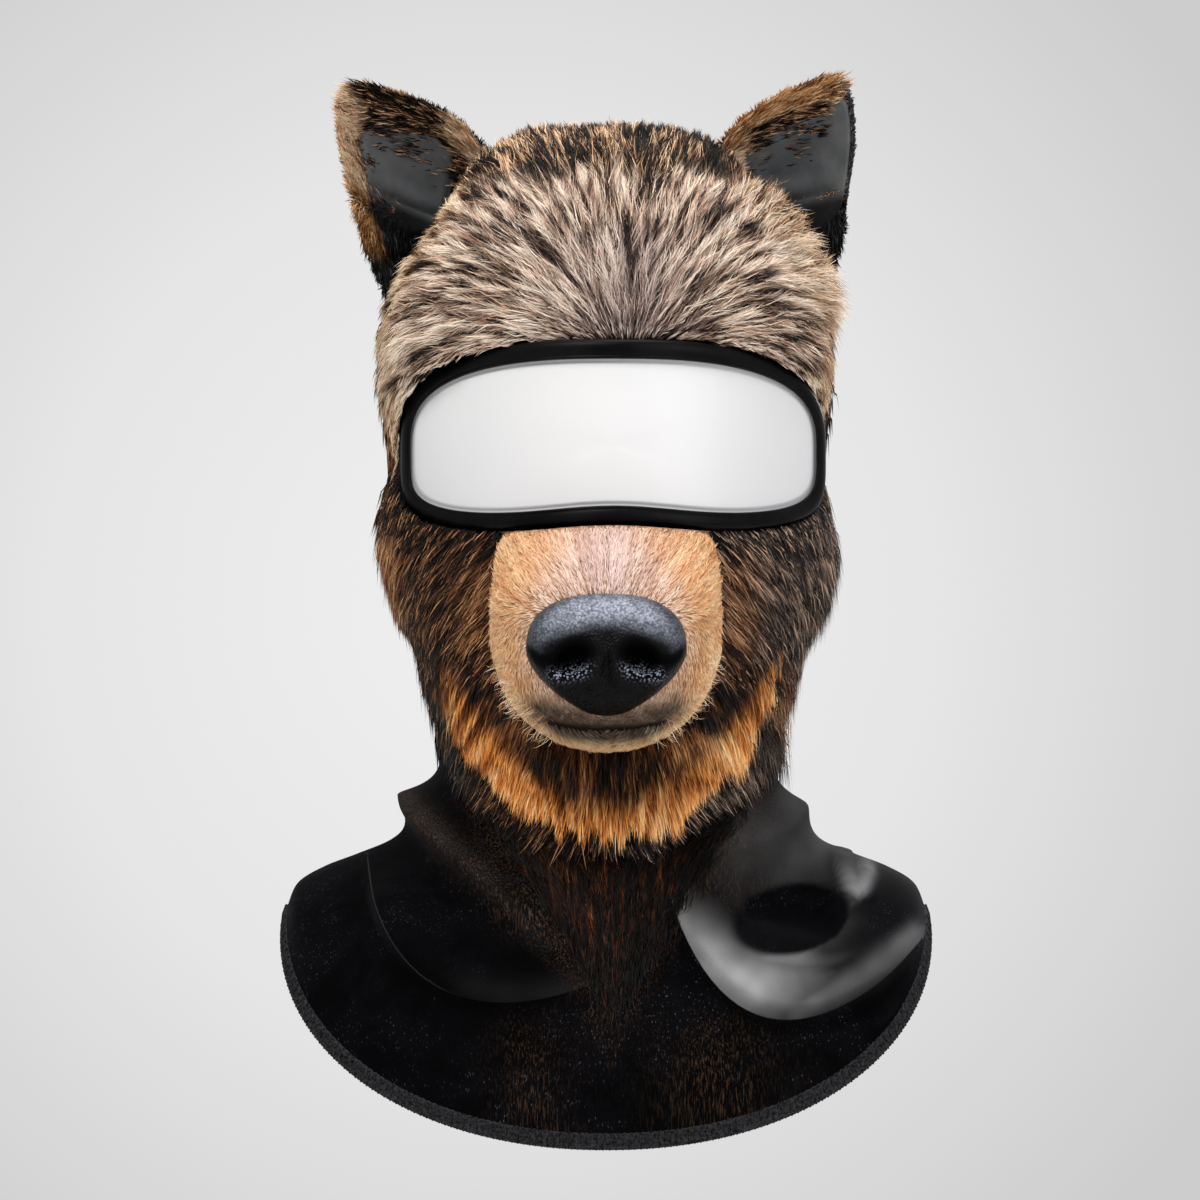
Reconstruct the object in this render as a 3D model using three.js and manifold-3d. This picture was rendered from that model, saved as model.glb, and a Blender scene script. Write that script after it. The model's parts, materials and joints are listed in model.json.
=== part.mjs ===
// A bear mask for the whole head: a fur hood with a padded muzzle and nose, two lined ears,
// a framed visor with one curved lens, a ruff of fur locks under the chin, and a cloth cape
// with a bound hem that lies over the shoulders.
// Millimetres, +Z up, the face looks along -Y, +X is on the right of someone who looks at the face.
// The origin is the inside of the crown, where the top of the wearer's head sits.
import * as THREE from "three";
import { mergeVertices } from "three/addons/utils/BufferGeometryUtils.js";
import Module from "manifold-3d";

const wasm = await Module();
wasm.setup();

// The running gap between pieces that touch.
const seamGap = 0.3;
const neckSeamGap = 1;

// Hood: fur fabric, its sections are shares of these four sizes.
const hoodWall = 3;
const hoodDrop = 255;
const neckDip = 42;
const neckDipFrom = 0.7;
const headHalfWidth = 92;
const headFront = 95;
const headBack = 102;
const headSquareness = 2.5;

// Cape: cloth from the neck seam to the hem binding, a front and a back panel that meet at the sides.
const capeWall = 2;
const hemHalfWidth = 134;
const hemFront = 112;
const hemBack = 108;
const shoulderDrop = 68;
const bibFrontDrop = 87;
const bibBackDrop = 70;
const hemSquareness = 2.1;
const hemPlanPower = 0.62;

// Hem binding: a folded band over the cape's edge.
const bindingWidth = 8;
const bindingThickness = 3.6;

// Visor: a frame that stands in an opening of the hood, with the lens in it.
const visorHalfWidth = 88;
const visorCentreX = 3;
const visorCentreZ = -130;
const visorRise = 43;
const visorFall = 34.5;
const visorTopSquareness = 2.9;
const visorBottomSquareness = 4.6;
const visorNoseArch = 3.5;
const visorArchWidth = 34;
const visorFrontY = -105;
const visorSag = 62;
const visorWrap = 0.3;
const frameDepth = 18;
const frameTopBand = 8;
const frameSideBand = 4.2;
const frameBottomBand = 7;
const frameLip = 1.6;
const lensThickness = 2.4;
const lensSetBack = 3.2;
const lensSeat = 1.6;
const lensClearance = 0.5;
const lensRings = [0.34, 0.62, 0.84, 1];
// The passage for the visor is cut through the face between these shares of headFront.
const passageFront = 2;
const passageBack = 0.2;

// Muzzle: a padded form on the front of the hood, placed from the visor's middle.
const muzzleHalfWidth = 47;
const muzzleLength = 86;
const muzzleRootY = -68;
const muzzleBelowVisor = 76;
const muzzleRise = 60;
const muzzleFall = 48;
const muzzleTopSquareness = 2.5;
const muzzleChinSquareness = 2.1;
const mouthBelowMuzzle = 36;
const mouthDepth = 4.2;
const mouthHeight = 2.6;
const mouthHalfWidth = 33;
const mouthSmile = 5;
const mouthFadeEnd = 1.6;
// The share of a form's length over which its groove or hollows come in.
const reliefShare = 0.5;

// Nose: a moulded pad with two nostrils, seated on the muzzle's front.
const noseHalfWidth = 31.5;
const noseRise = 23;
const noseFall = 26;
const noseBelowMuzzle = 6;
const noseStandOut = 7;
const noseDepth = 26;
const noseSquareness = 2.5;
const noseTaper = 0.5;
const noseTaperPower = 1.5;
const nostrilSpacing = 13.5;
const nostrilDepth = 7;
const nostrilHalfWidth = 7.5;
const nostrilHalfHeight = 6;
const nostrilBelowNose = 3;

// Ears: a bent cup of fur with a smooth lining in its front.
const earLength = 65;
const earBaseX = 71;
const earBaseY = 14;
const earBaseZ = -34;
const earTurns = [
  { name: "left", side: -1, turn: 0.06, spread: 1.5 },
  { name: "right", side: 1, turn: -0.05, spread: -1 },
];
const earRoot = 0.12;
const earCup = 20;
const earWall = 6;
const earEdgeShare = 0.35;
const earLean = 14;
const liningWall = 1.2;
const liningGap = 0.9;
const liningReach = 0.82;
const liningInset = 0.1;

// Chin ruff: a crescent of pointed fur locks.
const ruffLocks = 17;
const ruffHalfWidth = 72;
const ruffThickness = 7;
const ruffTopDrop = 34;
const ruffTopRise = 32;
const ruffTipDrop = 88;
const ruffTipRise = 62;
const ruffLockDepth = 9;
const ruffStandOff = 14;
const ruffBreak = 24;
const ruffTaper = 0.08;
const ruffEndShare = 0.35;
const ruffValleyShare = 0.55;
const ruffTipThinning = 0.75;

// Sections of the hood from the crown to the neck seam, as shares of the hood's four sizes.
const hoodSections = [
  { drop: 0.0, width: 0.0, front: 0.0, back: 0.0 },
  { drop: 0.006, width: 0.257, front: 0.274, back: 0.275 },
  { drop: 0.02, width: 0.417, front: 0.463, back: 0.471 },
  { drop: 0.051, width: 0.556, front: 0.632, back: 0.647 },
  { drop: 0.09, width: 0.642, front: 0.747, back: 0.765 },
  { drop: 0.161, width: 0.77, front: 0.874, back: 0.892 },
  { drop: 0.224, width: 0.888, front: 0.926, back: 0.951 },
  { drop: 0.278, width: 0.968, front: 0.968, back: 0.98 },
  { drop: 0.341, width: 1.0, front: 0.989, back: 1.0 },
  { drop: 0.428, width: 1.0, front: 1.0, back: 1.0 },
  { drop: 0.49, width: 0.975, front: 1.0, back: 0.995 },
  { drop: 0.537, width: 0.96, front: 0.995, back: 0.98 },
  { drop: 0.584, width: 0.98, front: 0.989, back: 0.961 },
  { drop: 0.639, width: 1.0, front: 0.979, back: 0.931 },
  { drop: 0.702, width: 0.984, front: 0.963, back: 0.892 },
  { drop: 0.765, width: 0.935, front: 0.937, back: 0.843 },
  { drop: 0.82, width: 0.862, front: 0.911, back: 0.794 },
  { drop: 0.882, width: 0.81, front: 0.884, back: 0.745 },
  { drop: 0.945, width: 0.766, front: 0.842, back: 0.706 },
  { drop: 1.0, width: 0.745, front: 0.8, back: 0.685 },
];

// Sections of the cape from the neck seam to the hem, at its side and at its front and back, as
// shares of the way out to the hem and of the way down to it.
const capeSections = [
  { sideOut: 0.0, sideDown: 0.0, bibOut: 0.0, bibDown: 0.0 },
  { sideOut: 0.04, sideDown: 0.22, bibOut: 0.1, bibDown: 0.12 },
  { sideOut: 0.14, sideDown: 0.43, bibOut: 0.27, bibDown: 0.25 },
  { sideOut: 0.32, sideDown: 0.58, bibOut: 0.48, bibDown: 0.39 },
  { sideOut: 0.54, sideDown: 0.67, bibOut: 0.69, bibDown: 0.54 },
  { sideOut: 0.76, sideDown: 0.75, bibOut: 0.86, bibDown: 0.7 },
  { sideOut: 0.93, sideDown: 0.85, bibOut: 0.96, bibDown: 0.85 },
  { sideOut: 1.0, sideDown: 1.0, bibOut: 1.0, bibDown: 1.0 },
];

// Sections of the muzzle from its root to its front, as shares of its length, half width, rise and fall.
const muzzleSections = [
  { reach: 0.0, width: 1.02, rise: 1.0, fall: 1.03 },
  { reach: 0.2, width: 1.02, rise: 1.0, fall: 1.03 },
  { reach: 0.33, width: 1.01, rise: 0.86, fall: 1.02 },
  { reach: 0.43, width: 0.99, rise: 0.71, fall: 1.01 },
  { reach: 0.56, width: 0.96, rise: 0.62, fall: 0.99 },
  { reach: 0.7, width: 0.92, rise: 0.54, fall: 0.95 },
  { reach: 0.82, width: 0.84, rise: 0.46, fall: 0.86 },
  { reach: 0.92, width: 0.68, rise: 0.35, fall: 0.7 },
  { reach: 0.975, width: 0.46, rise: 0.22, fall: 0.47 },
  { reach: 1.0, width: 0.0, rise: 0.0, fall: 0.0 },
];

// Sections of the nose pad from its back to its front, as shares of its depth, half width, rise and fall.
const noseSections = [
  { reach: 0.0, width: 0.9, rise: 0.86, fall: 0.88 },
  { reach: 0.3, width: 1.0, rise: 0.98, fall: 0.98 },
  { reach: 0.6, width: 0.98, rise: 0.96, fall: 0.96 },
  { reach: 0.82, width: 0.86, rise: 0.78, fall: 0.8 },
  { reach: 0.95, width: 0.58, rise: 0.48, fall: 0.52 },
  { reach: 1.0, width: 0.0, rise: 0.0, fall: 0.0 },
];

// The rim of an ear from its inner root over the tip to its outer root, as shares of the ear's length.
const earRim = [
  { out: -0.42, up: 0.36, forward: 0.0 },
  { out: -0.25, up: 0.6, forward: 0.06 },
  { out: -0.03, up: 0.76, forward: 0.12 },
  { out: 0.21, up: 0.86, forward: 0.16 },
  { out: 0.42, up: 0.91, forward: 0.16 },
  { out: 0.54, up: 0.8, forward: 0.12 },
  { out: 0.56, up: 0.54, forward: 0.06 },
  { out: 0.51, up: 0.22, forward: 0.02 },
  { out: 0.44, up: -0.1, forward: -0.02 },
  { out: 0.3, up: -0.52, forward: -0.06 },
];

// Folds of the cape, each a bent ridge seen from the front. Across and down are shares of the
// hem's half width and of the bib's drop, height is a share of the shoulder drop, and the upper
// and lower widths are shares of the hem's half width.
const capeFolds = [
  { name: "left collar roll", x0: -0.65, z0: 0.13, x1: -0.51, z1: 0.235, x2: -0.19, z2: 0.5, height: 0.19, upper: 0.09, lower: 0.07 },
  { name: "left swag", x0: -0.746, z0: 0.307, x1: -0.618, z1: 0.777, x2: -0.05, z2: 0.614, height: 0.17, upper: 0.14, lower: 0.06 },
  { name: "right swag", x0: 0.19, z0: 0.38, x1: 0.4, z1: 0.94, x2: 0.96, z2: 0.526, height: 0.21, upper: 0.13, lower: 0.06 },
  { name: "right collar drape", x0: 0.66, z0: 0.16, x1: 0.5, z1: 0.26, x2: 0.2, z2: 0.31, height: 0.12, upper: 0.09, lower: 0.08 },
  { name: "shoulder tuck", x0: 0.7, z0: 0.275, x1: 0.776, z1: 0.475, x2: 0.832, z2: 0.323, height: 0.1, upper: 0.05, lower: 0.04 },
  { name: "right hollow", x0: 0.4, z0: 0.38, x1: 0.55, z1: 0.42, x2: 0.72, z2: 0.42, height: -0.12, upper: 0.08, lower: 0.08 },
  { name: "right lower pleat", x0: 0.47, z0: 0.75, x1: 0.7, z1: 0.77, x2: 0.915, z2: 0.67, height: 0.05, upper: 0.05, lower: 0.04 },
];
const foldEndTaper = 0.22;
const foldFadeIn = 0.06;
const foldFadeOut = 0.08;
const foldsEndFacing = -0.3;
const foldSamples = 16;
const backRipples = 5;
const backRippleHeight = 3.5;

// How finely each surface is cut into flat faces.
const hoodColumns = 36;
const hoodRows = 21;
const capeColumns = 48;
const capeRows = 12;
const capeCrowding = 0.25;
const visorColumns = 40;
const muzzleColumns = 28;
const muzzleRows = 12;
const noseColumns = 24;
const noseRows = 10;
const earColumns = 18;
const earRows = 4;
const ruffColumnsPerLock = 2;
const ruffRows = 4;

const hoodTopZ = hoodWall;
const neckSeamZ = hoodTopZ - hoodDrop;
const bibDrop = shoulderDrop + bibFrontDrop;
const shoulderZ = neckSeamZ - shoulderDrop;
const muzzleCentreZ = visorCentreZ - muzzleBelowVisor;
const mouthZ = muzzleCentreZ - mouthBelowMuzzle;
const noseCentreZ = muzzleCentreZ - noseBelowMuzzle;
const noseFrontY = muzzleRootY - muzzleLength - noseStandOut;
const nostrilZ = noseCentreZ - nostrilBelowNose;

const clamp01 = (t) => Math.min(1, Math.max(0, t));
const smooth = (t) => clamp01(t) ** 2 * (3 - 2 * clamp01(t));
const signedPower = (t, power) => Math.sign(t) * Math.abs(t) ** power;

// One value of a table at a share of its length, on a smooth curve through its rows.
function tableValue(rows, key, share) {
  const place = clamp01(share) * (rows.length - 1);
  const i = Math.min(rows.length - 2, Math.floor(place));
  const t = place - i;
  const value = (k) => rows[Math.min(rows.length - 1, Math.max(0, k))][key];
  const [a, b, c, d] = [value(i - 1), value(i), value(i + 1), value(i + 2)];
  return b + 0.5 * t * (c - a + t * (2 * a - 5 * b + 4 * c - d + t * (3 * (b - c) + d - a)));
}

// A point of the hood's outer face. The angle runs from the face's middle towards +X.
function hoodPoint(angle, share) {
  const across = signedPower(Math.sin(angle), 2 / headSquareness);
  const along = signedPower(Math.cos(angle), 2 / headSquareness);
  const depth =
    along > 0
      ? headFront * tableValue(hoodSections, "front", share)
      : headBack * tableValue(hoodSections, "back", share);
  const dip = neckDip * Math.max(0, Math.cos(angle)) ** 2 * smooth((share - neckDipFrom) / (1 - neckDipFrom));
  return new THREE.Vector3(
    headHalfWidth * tableValue(hoodSections, "width", share) * across,
    -depth * along,
    hoodTopZ - hoodDrop * tableValue(hoodSections, "drop", share) - dip,
  );
}

// The hood's outer face at a place seen from the front, found by halving its sections.
function hoodFaceY(x, z) {
  let angle = 0;
  let share = 1;
  for (let i = 0; i < 8; i++) {
    let [low, high] = [0, 1];
    for (let k = 0; k < 20; k++) {
      share = (low + high) / 2;
      if (hoodPoint(angle, share).z > z) low = share;
      else high = share;
    }
    const halfWidth = headHalfWidth * tableValue(hoodSections, "width", share);
    angle = Math.asin(clamp01(Math.abs(x) / halfWidth) ** (headSquareness / 2));
  }
  return hoodPoint(angle, share).y;
}

// How far a fold lifts the cloth at a place seen from the front.
function foldLift(fold, x, z) {
  const start = new THREE.Vector2(fold.x0 * hemHalfWidth, neckSeamZ - fold.z0 * bibDrop);
  const bend = new THREE.Vector2(fold.x1 * hemHalfWidth, neckSeamZ - fold.z1 * bibDrop);
  const end = new THREE.Vector2(fold.x2 * hemHalfWidth, neckSeamZ - fold.z2 * bibDrop);
  const ridge = new THREE.QuadraticBezierCurve(start, bend, end);
  let nearest = { distance: Infinity, t: 0, below: false };
  for (let i = 0; i <= foldSamples; i++) {
    const p = ridge.getPoint(i / foldSamples);
    const distance = Math.hypot(x - p.x, z - p.y);
    if (distance < nearest.distance) nearest = { distance, t: i / foldSamples, below: z < p.y };
  }
  const width = (nearest.below ? fold.lower : fold.upper) * hemHalfWidth;
  const taper = smooth(nearest.t / foldEndTaper) * smooth((1 - nearest.t) / foldEndTaper);
  return fold.height * shoulderDrop * taper * Math.exp(-((nearest.distance / width) ** 2));
}

// A point of the cape's outer face before its folds, from the neck seam to the hem.
function plainCapePoint(angle, share) {
  const neck = hoodPoint(angle, 1);
  const across = signedPower(Math.sin(angle), 2 / hemSquareness);
  const along = signedPower(Math.cos(angle), 2 / hemSquareness);
  const forward = signedPower(along, hemPlanPower);
  const hem = new THREE.Vector3(
    hemHalfWidth * across,
    -(along > 0 ? hemFront : hemBack) * forward,
    shoulderZ - (along > 0 ? bibFrontDrop : bibBackDrop) * Math.abs(along),
  );
  const facing = along ** 2;
  const mixed = (side, bib) =>
    tableValue(capeSections, side, share) * (1 - facing) + tableValue(capeSections, bib, share) * facing;
  const [out, down] = [mixed("sideOut", "bibOut"), mixed("sideDown", "bibDown")];
  return new THREE.Vector3(
    neck.x + (hem.x - neck.x) * out,
    neck.y + (hem.y - neck.y) * out,
    neck.z + (hem.z - neck.z) * down,
  );
}

function capePoint(angle, share) {
  const point = plainCapePoint(angle, share);
  const facing = Math.cos(angle);
  const fade = smooth(share / foldFadeIn) * smooth((1 - share) / foldFadeOut);
  let lift = 0;
  if (facing > foldsEndFacing)
    for (const fold of capeFolds) lift += foldLift(fold, point.x, point.z) * fade;
  if (facing < 0)
    lift += backRippleHeight * share * smooth(-facing) * Math.cos(2 * backRipples * angle);
  return point.addScaledVector(outwardNormal(plainCapePoint, angle, share), lift);
}

// The outward normal of a surface whose angle runs round Z and whose share runs down.
function outwardNormal(surface, angle, share) {
  const step = 1e-3;
  const [above, below] = [Math.max(0, share - step), Math.min(1, share + step)];
  const down = surface(angle, below).sub(surface(angle, above));
  const round = surface(angle + step, share).sub(surface(angle - step, share));
  const normal = down.cross(round);
  return normal.lengthSq() < 1e-12 ? new THREE.Vector3(0, 0, 1) : normal.normalize();
}

// A surface set off by a distance along its normal.
const offsetSurface = (surface, distance) => (angle, share) =>
  surface(angle, share).addScaledVector(outwardNormal(surface, angle, share), distance);

// The angle of a column; crowding above 0 draws the columns together at the front.
function columnAngle(i, columns, crowding = 0) {
  const even = (2 * Math.PI * i) / columns;
  return even - crowding * Math.sin(even);
}

// Rows of points, top to bottom, of a surface that closes on itself round an angle.
function ringRows(surface, columns, rows, { from = 0, to = 1, crowding = 0 } = {}) {
  return Array.from({ length: rows + 1 }, (_, j) =>
    Array.from({ length: columns }, (_, i) =>
      surface(columnAngle(i, columns, crowding), from + ((to - from) * j) / rows),
    ),
  );
}

// Triangles between rows of points. Faces look outwards where the rows run down the outside.
function stitch(rows, wrap, triangles = []) {
  for (let j = 0; j + 1 < rows.length; j++) {
    const count = rows[j].length;
    for (let i = 0; i < (wrap ? count : count - 1); i++) {
      const k = (i + 1) % count;
      const [a, b, c, d] = [rows[j][i], rows[j][k], rows[j + 1][i], rows[j + 1][k]];
      triangles.push([a, c, b], [b, c, d]);
    }
  }
  return triangles;
}

// A solid from triangles whose corners are points; slivers with two equal corners are left out.
function solidOf(triangles) {
  const same = (p, q) => p.distanceToSquared(q) < 1e-8;
  const kept = triangles.filter(([a, b, c]) => !same(a, b) && !same(b, c) && !same(a, c));
  const positions = new Float32Array(kept.flat().flatMap((p) => [p.x, p.y, p.z]));
  const loose = new THREE.BufferGeometry();
  loose.setAttribute("position", new THREE.BufferAttribute(positions, 3));
  const merged = mergeVertices(loose, 1e-4);
  return new wasm.Manifold(
    new wasm.Mesh({
      numProp: 3,
      vertProperties: merged.attributes.position.array,
      triVerts: new Uint32Array(merged.index.array),
    }),
  );
}

// The closed solid whose skin is a loop of rows: each row runs round, and the last meets the first.
const loopSolid = (rows) => solidOf(stitch([...rows, rows[0]], true));

// The closed solid between rows that run round and close in a point at both ends.
function cappedSolid(rows) {
  const middle = (row) =>
    row.reduce((sum, p) => sum.add(p), new THREE.Vector3()).divideScalar(row.length);
  const [top, bottom] = [middle(rows[0]), middle(rows[rows.length - 1])];
  const count = rows[0].length;
  return solidOf(stitch([Array(count).fill(top), ...rows, Array(count).fill(bottom)], true));
}

// A mesh of a solid, with its largest body kept where a cut leaves crumbs.
function meshOf(name, solid, colour, roughness) {
  const bodies = solid.decompose().sort((p, q) => q.volume() - p.volume());
  const cut = bodies[0].getMesh();
  const positions = new Float32Array(cut.numVert * 3);
  for (let i = 0; i < cut.numVert; i++)
    positions.set(cut.vertProperties.subarray(i * cut.numProp, i * cut.numProp + 3), i * 3);
  const geometry = new THREE.BufferGeometry();
  geometry.setAttribute("position", new THREE.BufferAttribute(positions, 3));
  geometry.setIndex(new THREE.BufferAttribute(cut.triVerts, 1));
  geometry.computeVertexNormals();
  const material = new THREE.MeshStandardMaterial({ color: colour, roughness, metalness: 0 });
  const mesh = new THREE.Mesh(geometry, material);
  mesh.name = name;
  return mesh;
}

// A wall between a surface and its copy set inwards, open at the bottom and closed at a pole.
function poleShell(surface, wall, columns, rows) {
  const outer = ringRows(surface, columns, rows);
  const inner = ringRows(offsetSurface(surface, -wall), columns, rows).reverse();
  inner[inner.length - 1] = Array(columns).fill(inner[inner.length - 1][0]);
  return solidOf(stitch([...outer, ...inner], true));
}

// The visor's outline round its middle. Bands narrow it for the lens.
function visorOutline(turn, topBand = 0, sideBand = 0, bottomBand = 0) {
  const [c, s] = [Math.cos(turn), Math.sin(turn)];
  const squareness = s > 0 ? visorTopSquareness : visorBottomSquareness;
  const radius = (Math.abs(c) ** squareness + Math.abs(s) ** squareness) ** (-1 / squareness);
  const x = (visorHalfWidth - sideBand) * radius * c;
  const reach = s > 0 ? visorRise - topBand : visorFall - bottomBand;
  const arch = s < 0 ? visorNoseArch * Math.exp(-((x / visorArchWidth) ** 2)) * smooth(-s) : 0;
  return { x, z: visorCentreZ + reach * radius * s + arch };
}

// How far forward the visor's front face is at a place across it.
const visorY = (x) => visorFrontY + visorSag * (x / visorHalfWidth) ** 2;

// One ring of the visor, set back from its front face, by more where it wraps round the sides.
function visorRing(bands, setBack, wrap = 0) {
  return Array.from({ length: visorColumns }, (_, i) => {
    const { x, z } = visorOutline((2 * Math.PI * i) / visorColumns, ...bands);
    const depth = setBack * (1 + wrap * (x / visorHalfWidth) ** 2);
    return new THREE.Vector3(visorCentreX + x, visorY(x) + depth, z);
  });
}

const noBands = [0, 0, 0];
const innerBands = [frameTopBand, frameSideBand, frameBottomBand];
const narrower = (bands, by) => bands.map((band) => band + by);

function buildVisorFrame() {
  const rims = [
    visorRing(noBands, frameDepth, visorWrap),
    visorRing(noBands, frameLip),
    visorRing(narrower(noBands, frameLip), 0),
    visorRing(narrower(innerBands, -frameLip), 0),
    visorRing(innerBands, frameLip),
    visorRing(innerBands, lensSetBack - seamGap),
    visorRing(narrower(innerBands, -lensSeat), lensSetBack - seamGap),
    visorRing(narrower(innerBands, -lensSeat), frameDepth, visorWrap),
  ];
  return loopSolid(rims.reverse());
}

function buildVisorLens() {
  const seat = narrower(innerBands, -lensSeat + lensClearance);
  const rings = (setBack) =>
    lensRings.map((share) =>
      visorRing(noBands, 0).map((_, i) => {
        const { x, z } = visorOutline((2 * Math.PI * i) / visorColumns, ...seat);
        const px = x * share;
        const pz = visorCentreZ + (z - visorCentreZ) * share;
        return new THREE.Vector3(visorCentreX + px, visorY(px) + setBack, pz);
      }),
    );
  return cappedSolid([...rings(lensSetBack + lensThickness), ...rings(lensSetBack).reverse()].reverse());
}

// A straight block with the visor's outline, grown by a clearance, that cuts through the face.
function visorPassage(clearance) {
  const grown = narrower(noBands, -clearance);
  const ring = (y) => visorRing(grown, 0).map((p) => new THREE.Vector3(p.x, y, p.z));
  return cappedSolid([ring(-passageFront * headFront), ring(-passageBack * headFront)]);
}

// A point of a form that grows forward from the face: the turn runs round it, the share to its
// front, and its squareness differs above and below its middle.
function forwardPoint(sections, sizes, turn, share, squareness) {
  const [c, s] = [Math.cos(turn), Math.sin(turn)];
  const value = (key) => tableValue(sections, key, share);
  const up = s > 0 ? sizes.rise * value("rise") : sizes.fall * value("fall");
  const power = 2 / (s > 0 ? squareness[0] : squareness[1]);
  return new THREE.Vector3(
    sizes.halfWidth * value("width") * signedPower(c, power),
    sizes.rootY - sizes.length * value("reach"),
    sizes.centreZ + up * signedPower(s, power),
  );
}

const muzzleSizes = {
  halfWidth: muzzleHalfWidth,
  length: muzzleLength,
  rootY: muzzleRootY,
  centreZ: muzzleCentreZ,
  rise: muzzleRise,
  fall: muzzleFall,
};

// The muzzle's skin, with the mouth's groove drawn in towards the face.
function muzzlePoint(turn, share) {
  const point = forwardPoint(muzzleSections, muzzleSizes, turn, share, [muzzleTopSquareness, muzzleChinSquareness]);
  const across = point.x / mouthHalfWidth;
  const lipZ = mouthZ + mouthSmile * across ** 2;
  const groove = Math.exp(-(((point.z - lipZ) / mouthHeight) ** 2)) * smooth(mouthFadeEnd - Math.abs(across));
  point.y += mouthDepth * groove * smooth(share / reliefShare);
  return point;
}

const noseSizes = {
  halfWidth: noseHalfWidth,
  length: noseDepth,
  rootY: noseFrontY + noseDepth,
  centreZ: noseCentreZ,
  rise: noseRise,
  fall: noseFall,
};

// The nose's skin: broad above, narrow below, with a hollow for each nostril.
function nosePoint(turn, share) {
  const point = forwardPoint(noseSections, noseSizes, turn, share, [noseSquareness, noseSquareness]);
  const below = clamp01((noseCentreZ - point.z) / noseFall);
  point.x *= 1 - noseTaper * below ** noseTaperPower;
  const side = (Math.abs(point.x) - nostrilSpacing) / nostrilHalfWidth;
  const level = (point.z - nostrilZ) / nostrilHalfHeight;
  point.y += nostrilDepth * Math.exp(-(side ** 2) - level ** 2) * smooth(share / reliefShare);
  return point;
}

// The closed solid of a form that grows forward, set off by a distance along its skin.
function forwardSolid(surface, columns, rows, distance) {
  const step = 1e-3;
  const moved = (turn, share) => {
    const point = surface(turn, share);
    if (distance === 0) return point;
    const ahead = surface(turn, Math.min(1, share + step)).sub(surface(turn, Math.max(0, share - step)));
    const round = surface(turn + step, share).sub(surface(turn - step, share));
    const normal = round.cross(ahead);
    if (normal.lengthSq() < 1e-12) normal.set(0, -1, 0);
    return point.addScaledVector(normal.normalize(), distance);
  };
  const rings = ringRows(moved, columns, rows);
  rings[rows] = Array(columns).fill(moved(0, 1));
  return cappedSolid(rings.reverse());
}

// A point of the ear's front: rim is a share along its edge, reach runs from the root to the edge.
function earPoint(ear, rim, reach, back) {
  const edge = (key) => tableValue(earRim, key, rim) * earLength;
  const body = earEdgeShare + (1 - earEdgeShare) * Math.sqrt(1 - reach ** 2);
  const hollow = earCup * (1 - reach ** 2) + back * body;
  const [c, s] = [Math.cos(ear.turn), Math.sin(ear.turn)];
  const [out, up] = [edge("out") * reach, edge("up") * reach];
  return new THREE.Vector3(
    ear.side * (earBaseX + ear.spread + out * c + up * s),
    earBaseY - edge("forward") * reach - earLean * reach ** 2 + hollow,
    earBaseZ + up * c - out * s,
  );
}

// The solid between two sheets of rows that share no edge: front first, then back.
function sheetSolid(front, back) {
  const turned = back.map((row) => [...row].reverse());
  const border = (rows) => {
    const last = rows.length - 1;
    const across = rows[0].length - 1;
    return [
      ...rows[0],
      ...rows.slice(1).map((row) => row[across]),
      ...[...rows[last]].reverse().slice(1),
      ...rows.slice(1, last).reverse().map((row) => row[0]),
    ];
  };
  const triangles = stitch(front, false, stitch(turned, false));
  return solidOf(stitch([border(back), border(front)], true, triangles));
}

function earSheet(ear, low, high, from, to, back) {
  return Array.from({ length: earRows + 1 }, (_, j) =>
    Array.from({ length: earColumns + 1 }, (_, i) => {
      const along = low + ((high - low) * (ear.side > 0 ? earColumns - i : i)) / earColumns;
      return earPoint(ear, 1 - along, to - ((to - from) * j) / earRows, back);
    }),
  );
}

const buildEar = (ear) =>
  sheetSolid(earSheet(ear, 0, 1, earRoot, 1, 0), earSheet(ear, 0, 1, earRoot, 1, earWall));

function buildEarLining(ear) {
  const [low, high] = [liningInset, 1 - liningInset];
  const face = earSheet(ear, low, high, earRoot, liningReach, -liningGap - liningWall);
  const rear = earSheet(ear, low, high, earRoot, liningReach, -liningGap);
  return sheetSolid(face, rear);
}

// The middle of the cape's edge at an angle, with the directions out of the cloth and away from it.
function hemEdge(angle) {
  const step = 1e-3;
  const outer = capePoint(angle, 1);
  const inner = offsetSurface(capePoint, -capeWall)(angle, 1);
  const out = outer.clone().sub(inner).normalize();
  const along = capePoint(angle + step, 1).sub(capePoint(angle - step, 1));
  const away = along.cross(out).normalize();
  return { middle: outer.add(inner).multiplyScalar(0.5), out, away };
}

// The band that closes the hem: a folded tape, thicker than the cloth that ends in it.
function buildHemBinding() {
  const edges = Array.from({ length: capeColumns }, (_, i) => hemEdge(columnAngle(i, capeColumns, capeCrowding)));
  const ring = (outward, down) =>
    edges.map((edge) => edge.middle.clone().addScaledVector(edge.out, outward).addScaledVector(edge.away, down));
  const half = bindingThickness / 2;
  return loopSolid([
    ring(-half, seamGap),
    ring(half, seamGap),
    ring(half, bindingWidth - half),
    ring(0, bindingWidth),
    ring(-half, bindingWidth - half),
  ]);
}

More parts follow.
